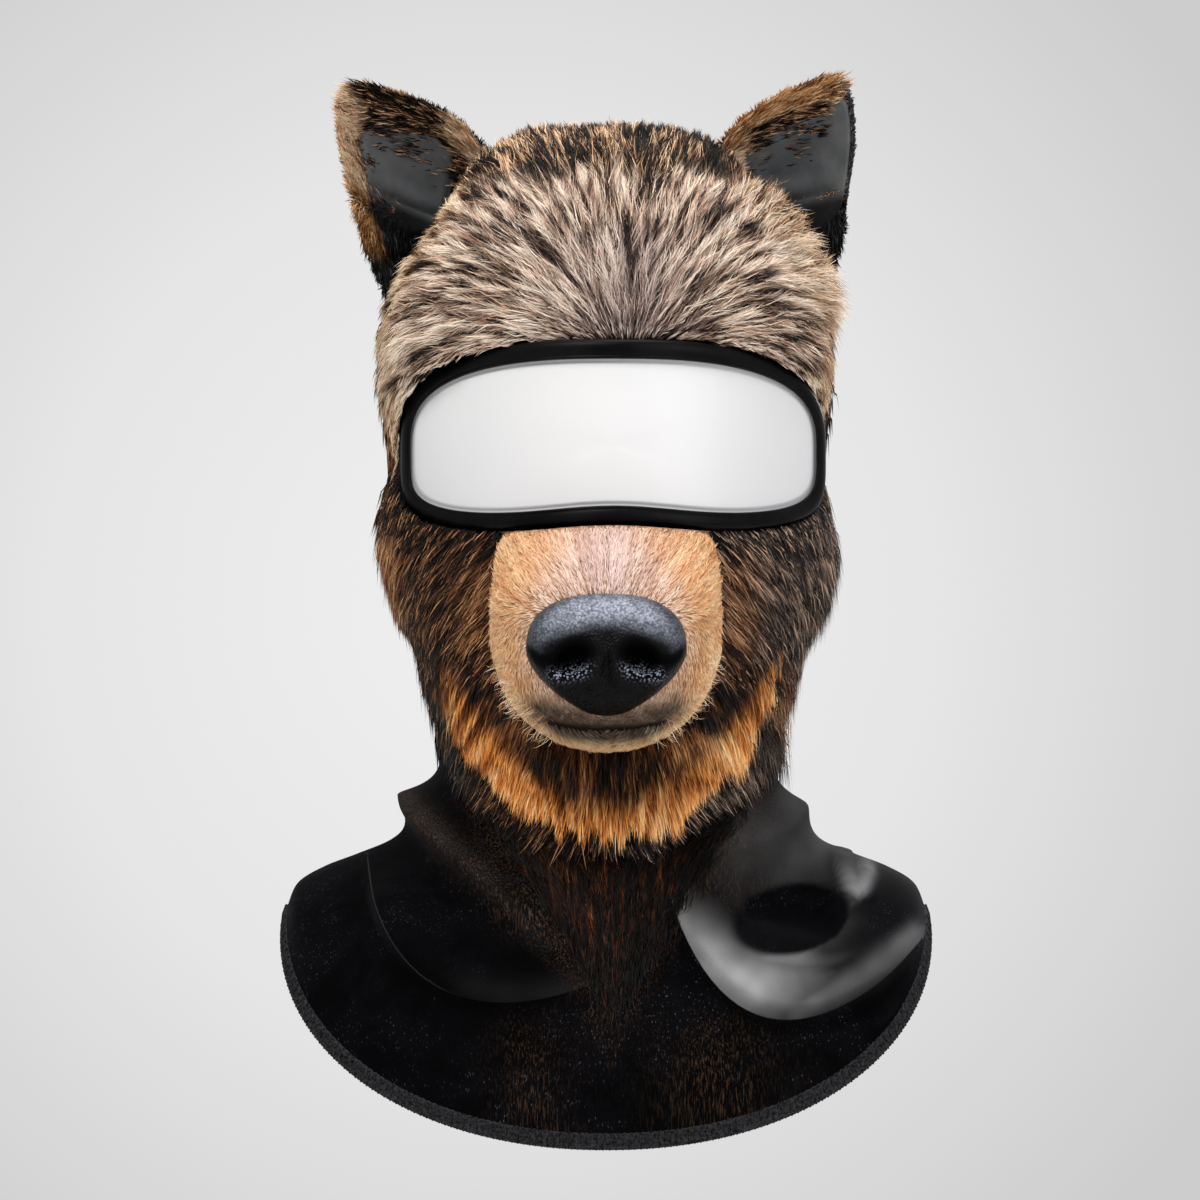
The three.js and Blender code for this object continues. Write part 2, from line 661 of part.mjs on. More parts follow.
// The ruff: locks that hang from a strip under the muzzle, each drawn to a point.
function buildChinRuff() {
  const columns = ruffLocks * ruffColumnsPerLock;
  const point = (i, j, lift) => {
    const across = (2 * i) / columns - 1;
    const down = j / ruffRows;
    const lock = i % ruffColumnsPerLock === 0 ? 0 : 1;
    const crescent = 1 - across ** 2;
    const top = muzzleCentreZ - ruffTopDrop + ruffTopRise * across ** 2;
    const tip = muzzleCentreZ - ruffTipDrop + ruffTipRise * across ** 2 - ruffLockDepth * (lock - 1);
    const z = top + (tip - top) * down;
    const x = ruffHalfWidth * across * (1 - ruffTaper * down);
    const thickness = ruffThickness * (ruffEndShare + (1 - ruffEndShare) * crescent);
    const body = thickness * (lock ? 1 : ruffValleyShare) * (1 - ruffTipThinning * down ** 2);
    const free = ruffStandOff * smooth((neckSeamZ + ruffBreak - z) / (2 * ruffBreak)) * crescent;
    return new THREE.Vector3(x, hoodFaceY(x, z) - free - seamGap - lift * body, z);
  };
  const sheet = (lift) =>
    Array.from({ length: ruffRows + 1 }, (_, j) =>
      Array.from({ length: columns + 1 }, (_, i) => point(i, j, lift)),
    );
  return sheetSolid(sheet(1), sheet(0));
}

function hoodForm(distance) {
  const rings = ringRows(offsetSurface(hoodPoint, distance), hoodColumns, hoodRows);
  const lowered = rings[hoodRows].map((p) => new THREE.Vector3(p.x, p.y, p.z - distance));
  return cappedSolid([...rings, lowered]);
}
const capeLoops = { from: neckSeamGap / bibDrop, crowding: capeCrowding };
const capeForm = (distance) =>
  cappedSolid(ringRows(offsetSurface(capePoint, distance), capeColumns, capeRows, capeLoops));
const muzzleForm = (distance) => forwardSolid(muzzlePoint, muzzleColumns, muzzleRows, distance);

const hoodClear = hoodForm(seamGap);
const visorClear = visorPassage(seamGap);

const hood = poleShell(hoodPoint, hoodWall, hoodColumns, hoodRows).subtract(visorClear);
const capeRowsOut = ringRows(capePoint, capeColumns, capeRows, capeLoops);
const capeRowsIn = ringRows(offsetSurface(capePoint, -capeWall), capeColumns, capeRows, capeLoops);
const cape = loopSolid([...capeRowsOut, ...capeRowsIn.reverse()]);
const capeFront = cape.trimByPlane([0, -1, 0], seamGap / 2);
const capeBack = cape.trimByPlane([0, 1, 0], seamGap / 2);
const muzzle = muzzleForm(0).subtract(hoodClear).subtract(visorClear);
const nose = forwardSolid(nosePoint, noseColumns, noseRows, 0).subtract(muzzleForm(seamGap));
const ruff = buildChinRuff().subtract(hoodClear).subtract(muzzleForm(seamGap)).subtract(capeForm(seamGap));

const furBrown = 0x6b4f3a;
const furTan = 0xc9976a;
const furOrange = 0xb8763a;
const clothBlack = 0x0b0b0d;
const liningGrey = 0x34363a;

const bearMask = new THREE.Group();
bearMask.name = "bear_mask";
bearMask.add(
  meshOf("hood", hood, furBrown, 0.85),
  meshOf("cape_front", capeFront, clothBlack, 0.6),
  meshOf("cape_back", capeBack, clothBlack, 0.6),
  meshOf("hem_binding", buildHemBinding(), clothBlack, 0.8),
  meshOf("muzzle", muzzle, furTan, 0.85),
  meshOf("nose", nose, 0x17181b, 0.35),
  meshOf("visor_frame", buildVisorFrame(), 0x101010, 0.45),
  meshOf("visor_lens", buildVisorLens(), 0xe9e9ec, 0.15),
  meshOf("chin_ruff", ruff, furOrange, 0.85),
);
for (const ear of earTurns) {
  bearMask.add(
    meshOf(`ear_${ear.name}`, buildEar(ear).subtract(hoodClear), furBrown, 0.85),
    meshOf(`ear_lining_${ear.name}`, buildEarLining(ear).subtract(hoodClear), liningGrey, 0.7),
  );
}

export default bearMask;
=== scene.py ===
# Bear mask for the whole head: fur hood, lined ears, framed visor, padded muzzle, chin ruff, velvet cape.
# Metres, +Z up, the face looks along -Y. Every piece lies where its solid in the frame lies.
import json
import math

import bpy
import numpy as np
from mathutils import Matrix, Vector

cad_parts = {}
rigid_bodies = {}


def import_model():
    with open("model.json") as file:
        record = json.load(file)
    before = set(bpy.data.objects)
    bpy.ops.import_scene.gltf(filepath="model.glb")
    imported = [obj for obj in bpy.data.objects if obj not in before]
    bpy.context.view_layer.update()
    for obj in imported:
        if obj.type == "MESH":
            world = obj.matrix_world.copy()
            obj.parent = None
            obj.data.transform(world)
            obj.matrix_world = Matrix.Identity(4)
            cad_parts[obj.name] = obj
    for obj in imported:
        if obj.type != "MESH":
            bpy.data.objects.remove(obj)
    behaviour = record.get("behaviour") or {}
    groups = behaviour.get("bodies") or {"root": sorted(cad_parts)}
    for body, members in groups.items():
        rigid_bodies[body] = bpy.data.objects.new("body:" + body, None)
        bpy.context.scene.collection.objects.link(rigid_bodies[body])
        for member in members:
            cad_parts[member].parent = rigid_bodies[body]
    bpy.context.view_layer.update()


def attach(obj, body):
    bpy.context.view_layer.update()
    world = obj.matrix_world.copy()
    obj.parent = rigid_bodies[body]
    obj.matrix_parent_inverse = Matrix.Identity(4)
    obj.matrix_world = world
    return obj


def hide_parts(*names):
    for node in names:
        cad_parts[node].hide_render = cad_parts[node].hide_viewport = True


for thing in list(bpy.data.objects):
    bpy.data.objects.remove(thing)
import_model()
mm = 0.001

# Shared numbers and shapes

hoodSize = {"halfWidth": 92 * mm, "front": 95 * mm, "back": 102 * mm, "drop": 255 * mm, "top": 3 * mm,
            "neckDip": 42 * mm, "dipFrom": 0.7, "wall": 3 * mm, "squareness": 2.5}
hoodSections = {
    "drop": [0, .006, .02, .051, .09, .161, .224, .278, .341, .428,
             .49, .537, .584, .639, .702, .765, .82, .882, .945, 1],
    "width": [0, .257, .417, .556, .642, .77, .888, .968, 1, 1,
              .975, .96, .98, 1, .984, .935, .862, .81, .766, .745],
    "front": [0, .274, .463, .632, .747, .874, .926, .968, .989, 1,
              1, .995, .989, .979, .963, .937, .911, .884, .842, .8],
    "back": [0, .275, .471, .647, .765, .892, .951, .98, 1, 1,
             .995, .98, .961, .931, .892, .843, .794, .745, .706, .685],
}
capeSize = {"halfWidth": 134 * mm, "front": 112 * mm, "back": 108 * mm, "shoulderDrop": 68 * mm,
            "bibFront": 87 * mm, "bibBack": 70 * mm, "wall": 2 * mm, "squareness": 2.1, "planPower": 0.62}
capeSections = {
    "sideOut": [0, .04, .14, .32, .54, .76, .93, 1],
    "sideDown": [0, .22, .43, .58, .67, .75, .85, 1],
    "bibOut": [0, .1, .27, .48, .69, .86, .96, 1],
    "bibDown": [0, .12, .25, .39, .54, .7, .85, 1],
}
neckZ = hoodSize["top"] - hoodSize["drop"]
shoulderZ = neckZ - capeSize["shoulderDrop"]
bibDrop = capeSize["shoulderDrop"] + capeSize["bibFront"]

visorSize = {"halfWidth": 88 * mm, "x": 3 * mm, "z": -130 * mm, "rise": 43 * mm, "fall": 34.5 * mm,
             "topSquareness": 2.9, "bottomSquareness": 4.6, "arch": 3.5 * mm, "archWidth": 34 * mm,
             "front": -105 * mm, "sag": 62 * mm, "wrap": 0.3, "depth": 18 * mm,
             "bands": (8 * mm, 4.2 * mm, 7 * mm), "seat": 1.1 * mm, "setBack": 3.2 * mm, "lens": 2.4 * mm}
muzzleSize = {"halfWidth": 47 * mm, "length": 86 * mm, "root": -68 * mm, "z": -206 * mm,
              "rise": 60 * mm, "fall": 48 * mm, "squareness": (2.5, 2.1)}
muzzleSections = {
    "reach": [0, .2, .33, .43, .56, .7, .82, .92, .975, 1],
    "width": [1.02, 1.02, 1.01, .99, .96, .92, .84, .68, .46, 0],
    "rise": [1, 1, .86, .71, .62, .54, .46, .35, .22, 0],
    "fall": [1.03, 1.03, 1.02, 1.01, .99, .95, .86, .7, .47, 0],
}
mouthSize = {"z": -242 * mm, "depth": 4.2 * mm, "height": 2.6 * mm, "halfWidth": 33 * mm, "smile": 5 * mm,
             "fadeEnd": 1.6}
noseSize = {"halfWidth": 31.5 * mm, "length": 26 * mm, "root": -135 * mm, "z": -212 * mm,
            "rise": 23 * mm, "fall": 26 * mm, "squareness": (2.5, 2.5), "taper": 0.5, "taperPower": 1.5}
noseSections = {
    "reach": [0, .3, .6, .82, .95, 1],
    "width": [.9, 1, .98, .86, .58, 0],
    "rise": [.86, .98, .96, .78, .48, 0],
    "fall": [.88, .98, .96, .8, .52, 0],
}
nostrilSize = {"spacing": 13.5 * mm, "depth": 7 * mm, "halfWidth": 7.5 * mm, "halfHeight": 6 * mm,
               "z": -215 * mm}
earSize = {"length": 65 * mm, "x": 71 * mm, "y": 14 * mm, "z": -34 * mm, "root": 0.12, "cup": 20 * mm,
           "wall": 6 * mm, "edgeShare": 0.35, "lean": 14 * mm, "liningWall": 1.2 * mm, "liningGap": 0.9 * mm,
           "liningReach": 0.82, "liningInset": 0.1}
earRim = {
    "out": [-.42, -.25, -.03, .21, .42, .54, .56, .51, .44, .3],
    "up": [.36, .6, .76, .86, .91, .8, .54, .22, -.1, -.52],
    "forward": [0, .06, .12, .16, .16, .12, .06, .02, -.02, -.06],
}
ears = [
    {"name": "left", "side": -1, "turn": 0.06, "spread": 1.5 * mm, "creaseZ": 5.4 * mm, "creaseSlope": -0.34},
    {"name": "right", "side": 1, "turn": -0.05, "spread": -1 * mm, "creaseZ": 11 * mm, "creaseSlope": 0.13},
]
ruffSize = {"locks": 17, "halfWidth": 72 * mm, "thickness": 7 * mm, "topDrop": 34 * mm, "topRise": 32 * mm,
            "tipDrop": 88 * mm, "tipRise": 62 * mm, "standOff": 14 * mm, "breakOver": 24 * mm, "taper": 0.08}


def smooth(t):
    t = np.clip(t, 0, 1)
    return t * t * (3 - 2 * t)


def mix(a, b, t):
    return a + (b - a) * t


def signedPower(t, power):
    return np.sign(t) * np.abs(t) ** power


def unit(v):
    return v / np.maximum(np.linalg.norm(v, axis=-1, keepdims=True), 1e-12)


def vectors(x, y, z):
    return np.stack(np.broadcast_arrays(x, y, z), -1)


def tableCurve(table, key, share):
    # a smooth curve through evenly spaced values a b c d:
    # b + t/2 (c - a + t (2a - 5b + 4c - d + t (3(b - c) + d - a)))
    values = np.asarray(table[key], float)
    last = len(values) - 1
    place = np.clip(share, 0, 1) * last
    i = np.minimum(last - 1, np.floor(place)).astype(int)
    t = place - i
    a, b, c, d = values[np.maximum(i - 1, 0)], values[i], values[i + 1], values[np.minimum(i + 2, last)]
    return b + 0.5 * t * (c - a + t * (2 * a - 5 * b + 4 * c - d + t * (3 * (b - c) + d - a)))


def hoodSurface(angle, share):
    # rings of superellipses: x = width sin^(2/n), y = -depth cos^(2/n); z falls and dips at the front
    power = 2 / hoodSize["squareness"]
    across, along = signedPower(np.sin(angle), power), signedPower(np.cos(angle), power)
    front = hoodSize["front"] * tableCurve(hoodSections, "front", share)
    back = hoodSize["back"] * tableCurve(hoodSections, "back", share)
    late = smooth((share - hoodSize["dipFrom"]) / (1 - hoodSize["dipFrom"]))
    dip = hoodSize["neckDip"] * np.maximum(0, np.cos(angle)) ** 2 * late
    x = hoodSize["halfWidth"] * tableCurve(hoodSections, "width", share) * across
    y = -np.where(along > 0, front, back) * along
    z = hoodSize["top"] - hoodSize["drop"] * tableCurve(hoodSections, "drop", share) - dip
    return vectors(x, y, z)


def surfaceNormals(surface, u, s, step=1e-3):
    # the cross product of the way down and the way round
    down = surface(u, np.minimum(s + step, 1)) - surface(u, np.maximum(s - step, 0))
    around = surface(u + step, s) - surface(u - step, s)
    normal = np.cross(down, around)
    flat = np.linalg.norm(normal, axis=-1, keepdims=True) < 1e-14
    return unit(np.where(flat, np.array([0, 0, 1.0]), normal))


def faceDepth(x, z):
    # the hood's y at a place seen from the front: its sections are halved until their z fits
    x, z = np.broadcast_arrays(np.asarray(x, float), np.asarray(z, float))
    angle = np.zeros(x.shape)
    share = np.ones(x.shape)
    for _ in range(6):
        low, high = np.zeros(x.shape), np.ones(x.shape)
        for _ in range(16):
            share = (low + high) / 2
            above = hoodSurface(angle, share)[..., 2] > z
            low, high = np.where(above, share, low), np.where(above, high, share)
        width = hoodSize["halfWidth"] * tableCurve(hoodSections, "width", share)
        ratio = np.clip(np.abs(x) / np.maximum(width, 1e-6), 0, 1)
        angle = np.arcsin(ratio ** (hoodSize["squareness"] / 2))
    return hoodSurface(angle, share)[..., 1]


# Folds of the cape seen from the front: a bent ridge each, from left to right. x is a share of the
# hem's half width, z of the bib's drop below the neck, height of the shoulder drop, both widths of
# the half width; the inner side lies above the ridge, the outer one below it.
capeFolds = [
    {"x": (-.65, -.51, -.19), "z": (.13, .235, .5), "height": .19, "inner": .09, "outer": .05},
    {"x": (-.746, -.618, -.05), "z": (.307, .777, .614), "height": .17, "inner": .14, "outer": .022},
    {"x": (.19, .4, .96), "z": (.38, .94, .526), "height": .21, "inner": .13, "outer": .022},
    {"x": (.2, .5, .66), "z": (.31, .26, .16), "height": .12, "inner": .09, "outer": .06},
    {"x": (.7, .776, .832), "z": (.275, .475, .323), "height": .1, "inner": .05, "outer": .025},
    {"x": (.4, .55, .72), "z": (.38, .42, .42), "height": -.12, "inner": .08, "outer": .08},
    {"x": (.47, .7, .915), "z": (.75, .77, .67), "height": .05, "inner": .05, "outer": .025},
]
foldSize = {"pieces": 24, "endTaper": 0.22, "fadeIn": 0.06, "fadeOut": 0.08, "endFacing": -0.3,
            "ripples": 5, "rippleHeight": 3.5 * mm}


def foldPlace(fold, x, z):
    # nearest place on the ridge's straight pieces: its distance, its share of the ridge, above it or not
    t = np.linspace(0, 1, foldSize["pieces"] + 1)
    bend = [(1 - t) ** 2 * p[0] + 2 * t * (1 - t) * p[1] + t * t * p[2] for p in (fold["x"], fold["z"])]
    ridgeX = bend[0] * capeSize["halfWidth"]
    ridgeZ = neckZ - bend[1] * bibDrop
    near = np.full(x.shape, 1e9)
    at = np.zeros(x.shape)
    above = np.zeros(x.shape)
    for k in range(foldSize["pieces"]):
        dx, dz = ridgeX[k + 1] - ridgeX[k], ridgeZ[k + 1] - ridgeZ[k]
        part = np.clip(((x - ridgeX[k]) * dx + (z - ridgeZ[k]) * dz) / (dx * dx + dz * dz), 0, 1)
        offX, offZ = x - ridgeX[k] - part * dx, z - ridgeZ[k] - part * dz
        distance = np.hypot(offX, offZ)
        closer = distance < near
        near = np.where(closer, distance, near)
        at = np.where(closer, t[k] + part / foldSize["pieces"], at)
        above = np.where(closer, dx * offZ - dz * offX, above)
    return near, at, above > 0


def foldLift(fold, x, z):
    # height * exp(-(distance to the ridge / width)^2), faded at both ends of the ridge
    near, at, above = foldPlace(fold, x, z)
    width = np.where(above, fold["inner"], fold["outer"]) * capeSize["halfWidth"]
    taper = smooth(at / foldSize["endTaper"]) * smooth((1 - at) / foldSize["endTaper"])
    return fold["height"] * capeSize["shoulderDrop"] * taper * np.exp(-((near / width) ** 2))


def plainCape(angle, share):
    # from the neck's ring to the hem's ring; the way out and the way down follow a side and a bib table
    angle, share = np.broadcast_arrays(angle, share)
    neck = hoodSurface(angle, np.ones_like(share))
    power = 2 / capeSize["squareness"]
    across, along = signedPower(np.sin(angle), power), signedPower(np.cos(angle), power)
    depth = np.where(along > 0, capeSize["front"], capeSize["back"])
    fall = np.where(along > 0, capeSize["bibFront"], capeSize["bibBack"])
    hem = vectors(capeSize["halfWidth"] * across, -depth * signedPower(along, capeSize["planPower"]),
                  shoulderZ - fall * np.abs(along))
    facing = along ** 2
    out = mix(tableCurve(capeSections, "sideOut", share), tableCurve(capeSections, "bibOut", share), facing)
    down = mix(tableCurve(capeSections, "sideDown", share), tableCurve(capeSections, "bibDown", share), facing)
    return neck + (hem - neck) * np.stack([out, out, down], -1)


def capeSurface(angle, share):
    # the plain cape lifted along its normal by the folds in front and by ripples behind
    angle, share = np.broadcast_arrays(angle, share)
    point = plainCape(angle, share)
    facing = np.cos(angle)
    fade = smooth(share / foldSize["fadeIn"]) * smooth((1 - share) / foldSize["fadeOut"])
    fade = fade * (facing > foldSize["endFacing"])
    lift = sum(foldLift(fold, point[..., 0], point[..., 2]) for fold in capeFolds) * fade
    ripple = foldSize["rippleHeight"] * share * smooth(-facing) * np.cos(2 * foldSize["ripples"] * angle)
    lift = lift + np.where(facing < 0, ripple, 0)
    return point + surfaceNormals(plainCape, angle, share) * lift[..., None]


def forwardForm(sections, size, angle, share):
    # superellipse rings that grow forward: x = width cos^(2/n), z = rise or fall times sin^(2/n)
    c, s = np.cos(angle), -np.sin(angle)
    power = 2 / np.where(s > 0, *size["squareness"])
    up = np.where(s > 0, size["rise"] * tableCurve(sections, "rise", share),
                  size["fall"] * tableCurve(sections, "fall", share))
    x = size["halfWidth"] * tableCurve(sections, "width", share) * signedPower(c, power)
    y = size["root"] - size["length"] * tableCurve(sections, "reach", share)
    return vectors(x, y, size["z"] + up * signedPower(s, power))


def muzzleForm(size, angle, share):
    # the padded form, with the mouth drawn in: depth * exp(-((z - lip) / height)^2)
    point = forwardForm(muzzleSections, size, angle, share)
    across = point[..., 0] / mouthSize["halfWidth"]
    lip = mouthSize["z"] + mouthSize["smile"] * across ** 2
    groove = np.exp(-(((point[..., 2] - lip) / mouthSize["height"]) ** 2))
    point[..., 1] += mouthSize["depth"] * groove * smooth(mouthSize["fadeEnd"] - np.abs(across)) * smooth(2 * share)
    return point


def visorRatio(x, z):
    # superellipse value of a place seen from the front, 1 on the visor's outline
    px = x - visorSize["x"]
    arch = visorSize["arch"] * np.exp(-((px / visorSize["archWidth"]) ** 2))
    pz = z - visorSize["z"]
    pz = np.where(pz < 0, np.minimum(pz - arch, 0), pz)
    n = np.where(pz > 0, visorSize["topSquareness"], visorSize["bottomSquareness"])
    reach = np.where(pz > 0, visorSize["rise"], visorSize["fall"])
    return (np.abs(px / visorSize["halfWidth"]) ** n + np.abs(pz / reach) ** n) ** (1 / n)


def visorFront(x):
    return visorSize["front"] + visorSize["sag"] * (x / visorSize["halfWidth"]) ** 2


def earSurface(ear, back):
    # out and up follow the rim's table; the cup and the wall's body close towards the rim
    def surface(rim, reach):
        edge = [tableCurve(earRim, key, rim) * earSize["length"] for key in ("out", "up", "forward")]
        body = mix(earSize["edgeShare"], 1, np.sqrt(np.maximum(0, 1 - reach ** 2)))
        hollow = earSize["cup"] * (1 - reach ** 2) + back * body
        c, s = math.cos(ear["turn"]), math.sin(ear["turn"])
        out, up = edge[0] * reach, edge[1] * reach
        x = ear["side"] * (earSize["x"] + ear["spread"] + out * c + up * s)
        y = earSize["y"] - edge[2] * reach - earSize["lean"] * reach ** 2 + hollow
        return vectors(x, y, earSize["z"] + up * c - out * s)
    return surface


# Meshes, noise and colour

def tone(red, green, blue):
    # a screen colour of 0 to 255 as linear light
    c = np.array([red, green, blue]) / 255
    return np.where(c <= 0.04045, c / 12.92, ((c + 0.055) / 1.055) ** 2.4)


def latticeValue(ix, iy, iz, seed):
    # a random value from 0 to 1 for whole-number places
    h = ix * 73856093 ^ iy * 19349663 ^ iz * 83492791 ^ (seed + 7) * 40503
    h = (h ^ (h >> 13)) * 1274126177 & 0xFFFFFFFF
    h = (h ^ (h >> 15)) * 2246822519 & 0xFFFFFFFF
    return ((h >> 8) & 0xFFFF) / 65535


def latticeNoise(x, y, z=0.0, seed=0):
    # values at the eight whole-number places round each point, blended by smoothed fractions
    places = np.broadcast_arrays(x, y, z)
    base = [np.floor(p).astype(np.int64) for p in places]
    part = [smooth(p - b) for p, b in zip(places, base)]
    total = 0.0
    for dx in (0, 1):
        for dy in (0, 1):
            for dz in (0, 1):
                weight = ((part[0] if dx else 1 - part[0]) * (part[1] if dy else 1 - part[1])
                          * (part[2] if dz else 1 - part[2]))
                total = total + weight * latticeValue(base[0] + dx, base[1] + dy, base[2] + dz, seed)
    return total


def makePiece(name, points, faces, rounded=True, colours=None, masks=None):
    mesh = bpy.data.meshes.new(name)
    points = np.asarray(points, np.float32).reshape(-1, 3)
    faces = np.asarray(faces, np.int32)
    mesh.vertices.add(len(points))
    mesh.vertices.foreach_set("co", points.ravel())
    mesh.loops.add(faces.size)
    mesh.loops.foreach_set("vertex_index", faces.ravel())
    mesh.polygons.add(len(faces))
    mesh.polygons.foreach_set("loop_start", np.arange(len(faces), dtype=np.int32) * faces.shape[1])
    mesh.polygons.foreach_set("use_smooth", np.full(len(faces), rounded))
    mesh.update(calc_edges=True)
    if colours is not None:
        layer = mesh.attributes.new("furTone", "FLOAT_COLOR", "POINT")
        rgba = np.ones((len(points), 4), np.float32)
        rgba[:, :3] = np.asarray(colours).reshape(-1, 3)
        layer.data.foreach_set("color", rgba.ravel())
    for key, values in (masks or {}).items():
        layer = mesh.attributes.new(key, "FLOAT", "POINT")
        layer.data.foreach_set("value", np.asarray(values, np.float32).ravel())
    piece = bpy.data.objects.new(name, mesh)
    bpy.context.scene.collection.objects.link(piece)
    return piece


def gridFaces(rows, columns, wrapAcross=True, wrapDown=False):
    # quads between rows of points; they look outwards where rows go down and columns go round
    j, i = np.meshgrid(np.arange(rows if wrapDown else rows - 1),
                       np.arange(columns if wrapAcross else columns - 1), indexing="ij")
    k, m = (i + 1) % columns, (j + 1) % rows
    return np.stack([j * columns + i, m * columns + i, m * columns + k, j * columns + k], -1).reshape(-1, 4)


def closePole(rows):
    # a last row that is drawn together to the middle of the one before it
    middle = np.broadcast_to(rows[-1].mean(0), rows[-1].shape)
    return np.concatenate([rows, middle[None]])


def onlyUsed(points, faces, *values):
    # leaves out the points that no face uses
    used, places = np.unique(faces, return_inverse=True)
    kept = [np.asarray(v).reshape(-1)[used] for v in values]
    return (points.reshape(-1, 3)[used], places.reshape(faces.shape), *kept)


def solidify(piece, thickness, offset=-1.0):
    wall = piece.modifiers.new("wall", "SOLIDIFY")
    wall.thickness = thickness
    wall.offset = offset
    wall.use_even_offset = True


def place(piece, slot, finish, *nodes):
    piece.data.materials.append(finish)
    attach(piece, "root")
    if nodes:
        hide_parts(*nodes)
    return piece


# Finishes

def newFinish(name, **settings):
    finish = bpy.data.materials.new(name)
    finish.use_nodes = True
    shader = finish.node_tree.nodes["Principled BSDF"]
    for key, value in settings.items():
        shader.inputs[key.replace("_", " ")].default_value = value
    return finish, finish.node_tree.nodes, finish.node_tree.links, shader


def addNode(nodes, kind, inputs=None, **settings):
    node = nodes.new(kind)
    for key, value in settings.items():
        setattr(node, key, value)
    for key, value in (inputs or {}).items():
        node.inputs[key].default_value = value
    return node


def linkedNode(nodes, links, kind, sources, inputs=None, **settings):
    # a node with each named source linked into the input of that name
    node = addNode(nodes, kind, inputs, **settings)
    for key, source in sources.items():
        links.new(source, node.inputs[key])
    return node


def addRamp(nodes, links, source, *stops):
    # a colour ramp: stops are pairs of place and linear colour
    ramp = nodes.new("ShaderNodeValToRGB")
    for _ in stops[2:]:
        ramp.color_ramp.elements.new(0.5)
    for element, (at, colour) in zip(ramp.color_ramp.elements, stops):
        element.position = at
        element.color = (*colour, 1)
    links.new(source, ramp.inputs["Fac"])
    return ramp


def addBump(nodes, links, shader, height, strength, distance):
    bump = addNode(nodes, "ShaderNodeBump", {"Strength": strength, "Distance": distance})
    links.new(height, bump.inputs["Height"])
    links.new(bump.outputs["Normal"], shader.inputs["Normal"])
    return bump


def makeFurFinish():
    finish, nodes, links, shader = newFinish("furFinish", Roughness=0.5, Specular_IOR_Level=0.12,
                                             Sheen_Weight=0.03, Sheen_Roughness=0.4)
    strand = addNode(nodes, "ShaderNodeAttribute", attribute_name="furTone")
    links.new(strand.outputs["Color"], shader.inputs["Base Color"])
    return finish


def makeBackingFinish(name, dark, light):
    # the woven ground under the pile, mottled by noise, black where the piece's mask says; on the muzzle pad that black
    # is painted shade in the mouth's groove and behind the nose
    finish, nodes, links, shader = newFinish(name, Roughness=0.9, Specular_IOR_Level=0.1)
    place = nodes.new("ShaderNodeTexCoord")
    noise = addNode(nodes, "ShaderNodeTexNoise", {"Scale": 260.0, "Detail": 4.0, "Roughness": 0.65})
    links.new(place.outputs["Object"], noise.inputs["Vector"])
    ramp = addRamp(nodes, links, noise.outputs["Fac"], (0.35, dark), (0.7, light))
    darkening = addNode(nodes, "ShaderNodeAttribute", attribute_name="darkening")
    blend = addNode(nodes, "ShaderNodeMix", data_type="RGBA")
    blend.inputs["B"].default_value = (*tone(9, 8, 8), 1)
    links.new(darkening.outputs["Fac"], blend.inputs["Factor"])
    links.new(ramp.outputs["Color"], blend.inputs["A"])
    links.new(blend.outputs["Result"], shader.inputs["Base Color"])
    addBump(nodes, links, shader, noise.outputs["Fac"], 0.8, 0.0012)
    return finish


# the pale grey of 168 is painted sheen for the folds; the other colours are the cloth's own
velvetLook = {"ground": tone(1, 1, 2), "worn": tone(7, 7, 10), "print": tone(84, 62, 44),
              "paintedSheen": tone(168, 168, 170), "lint": tone(84, 86, 95), "lintScale": 1150.0, "pileScale": 3400.0}


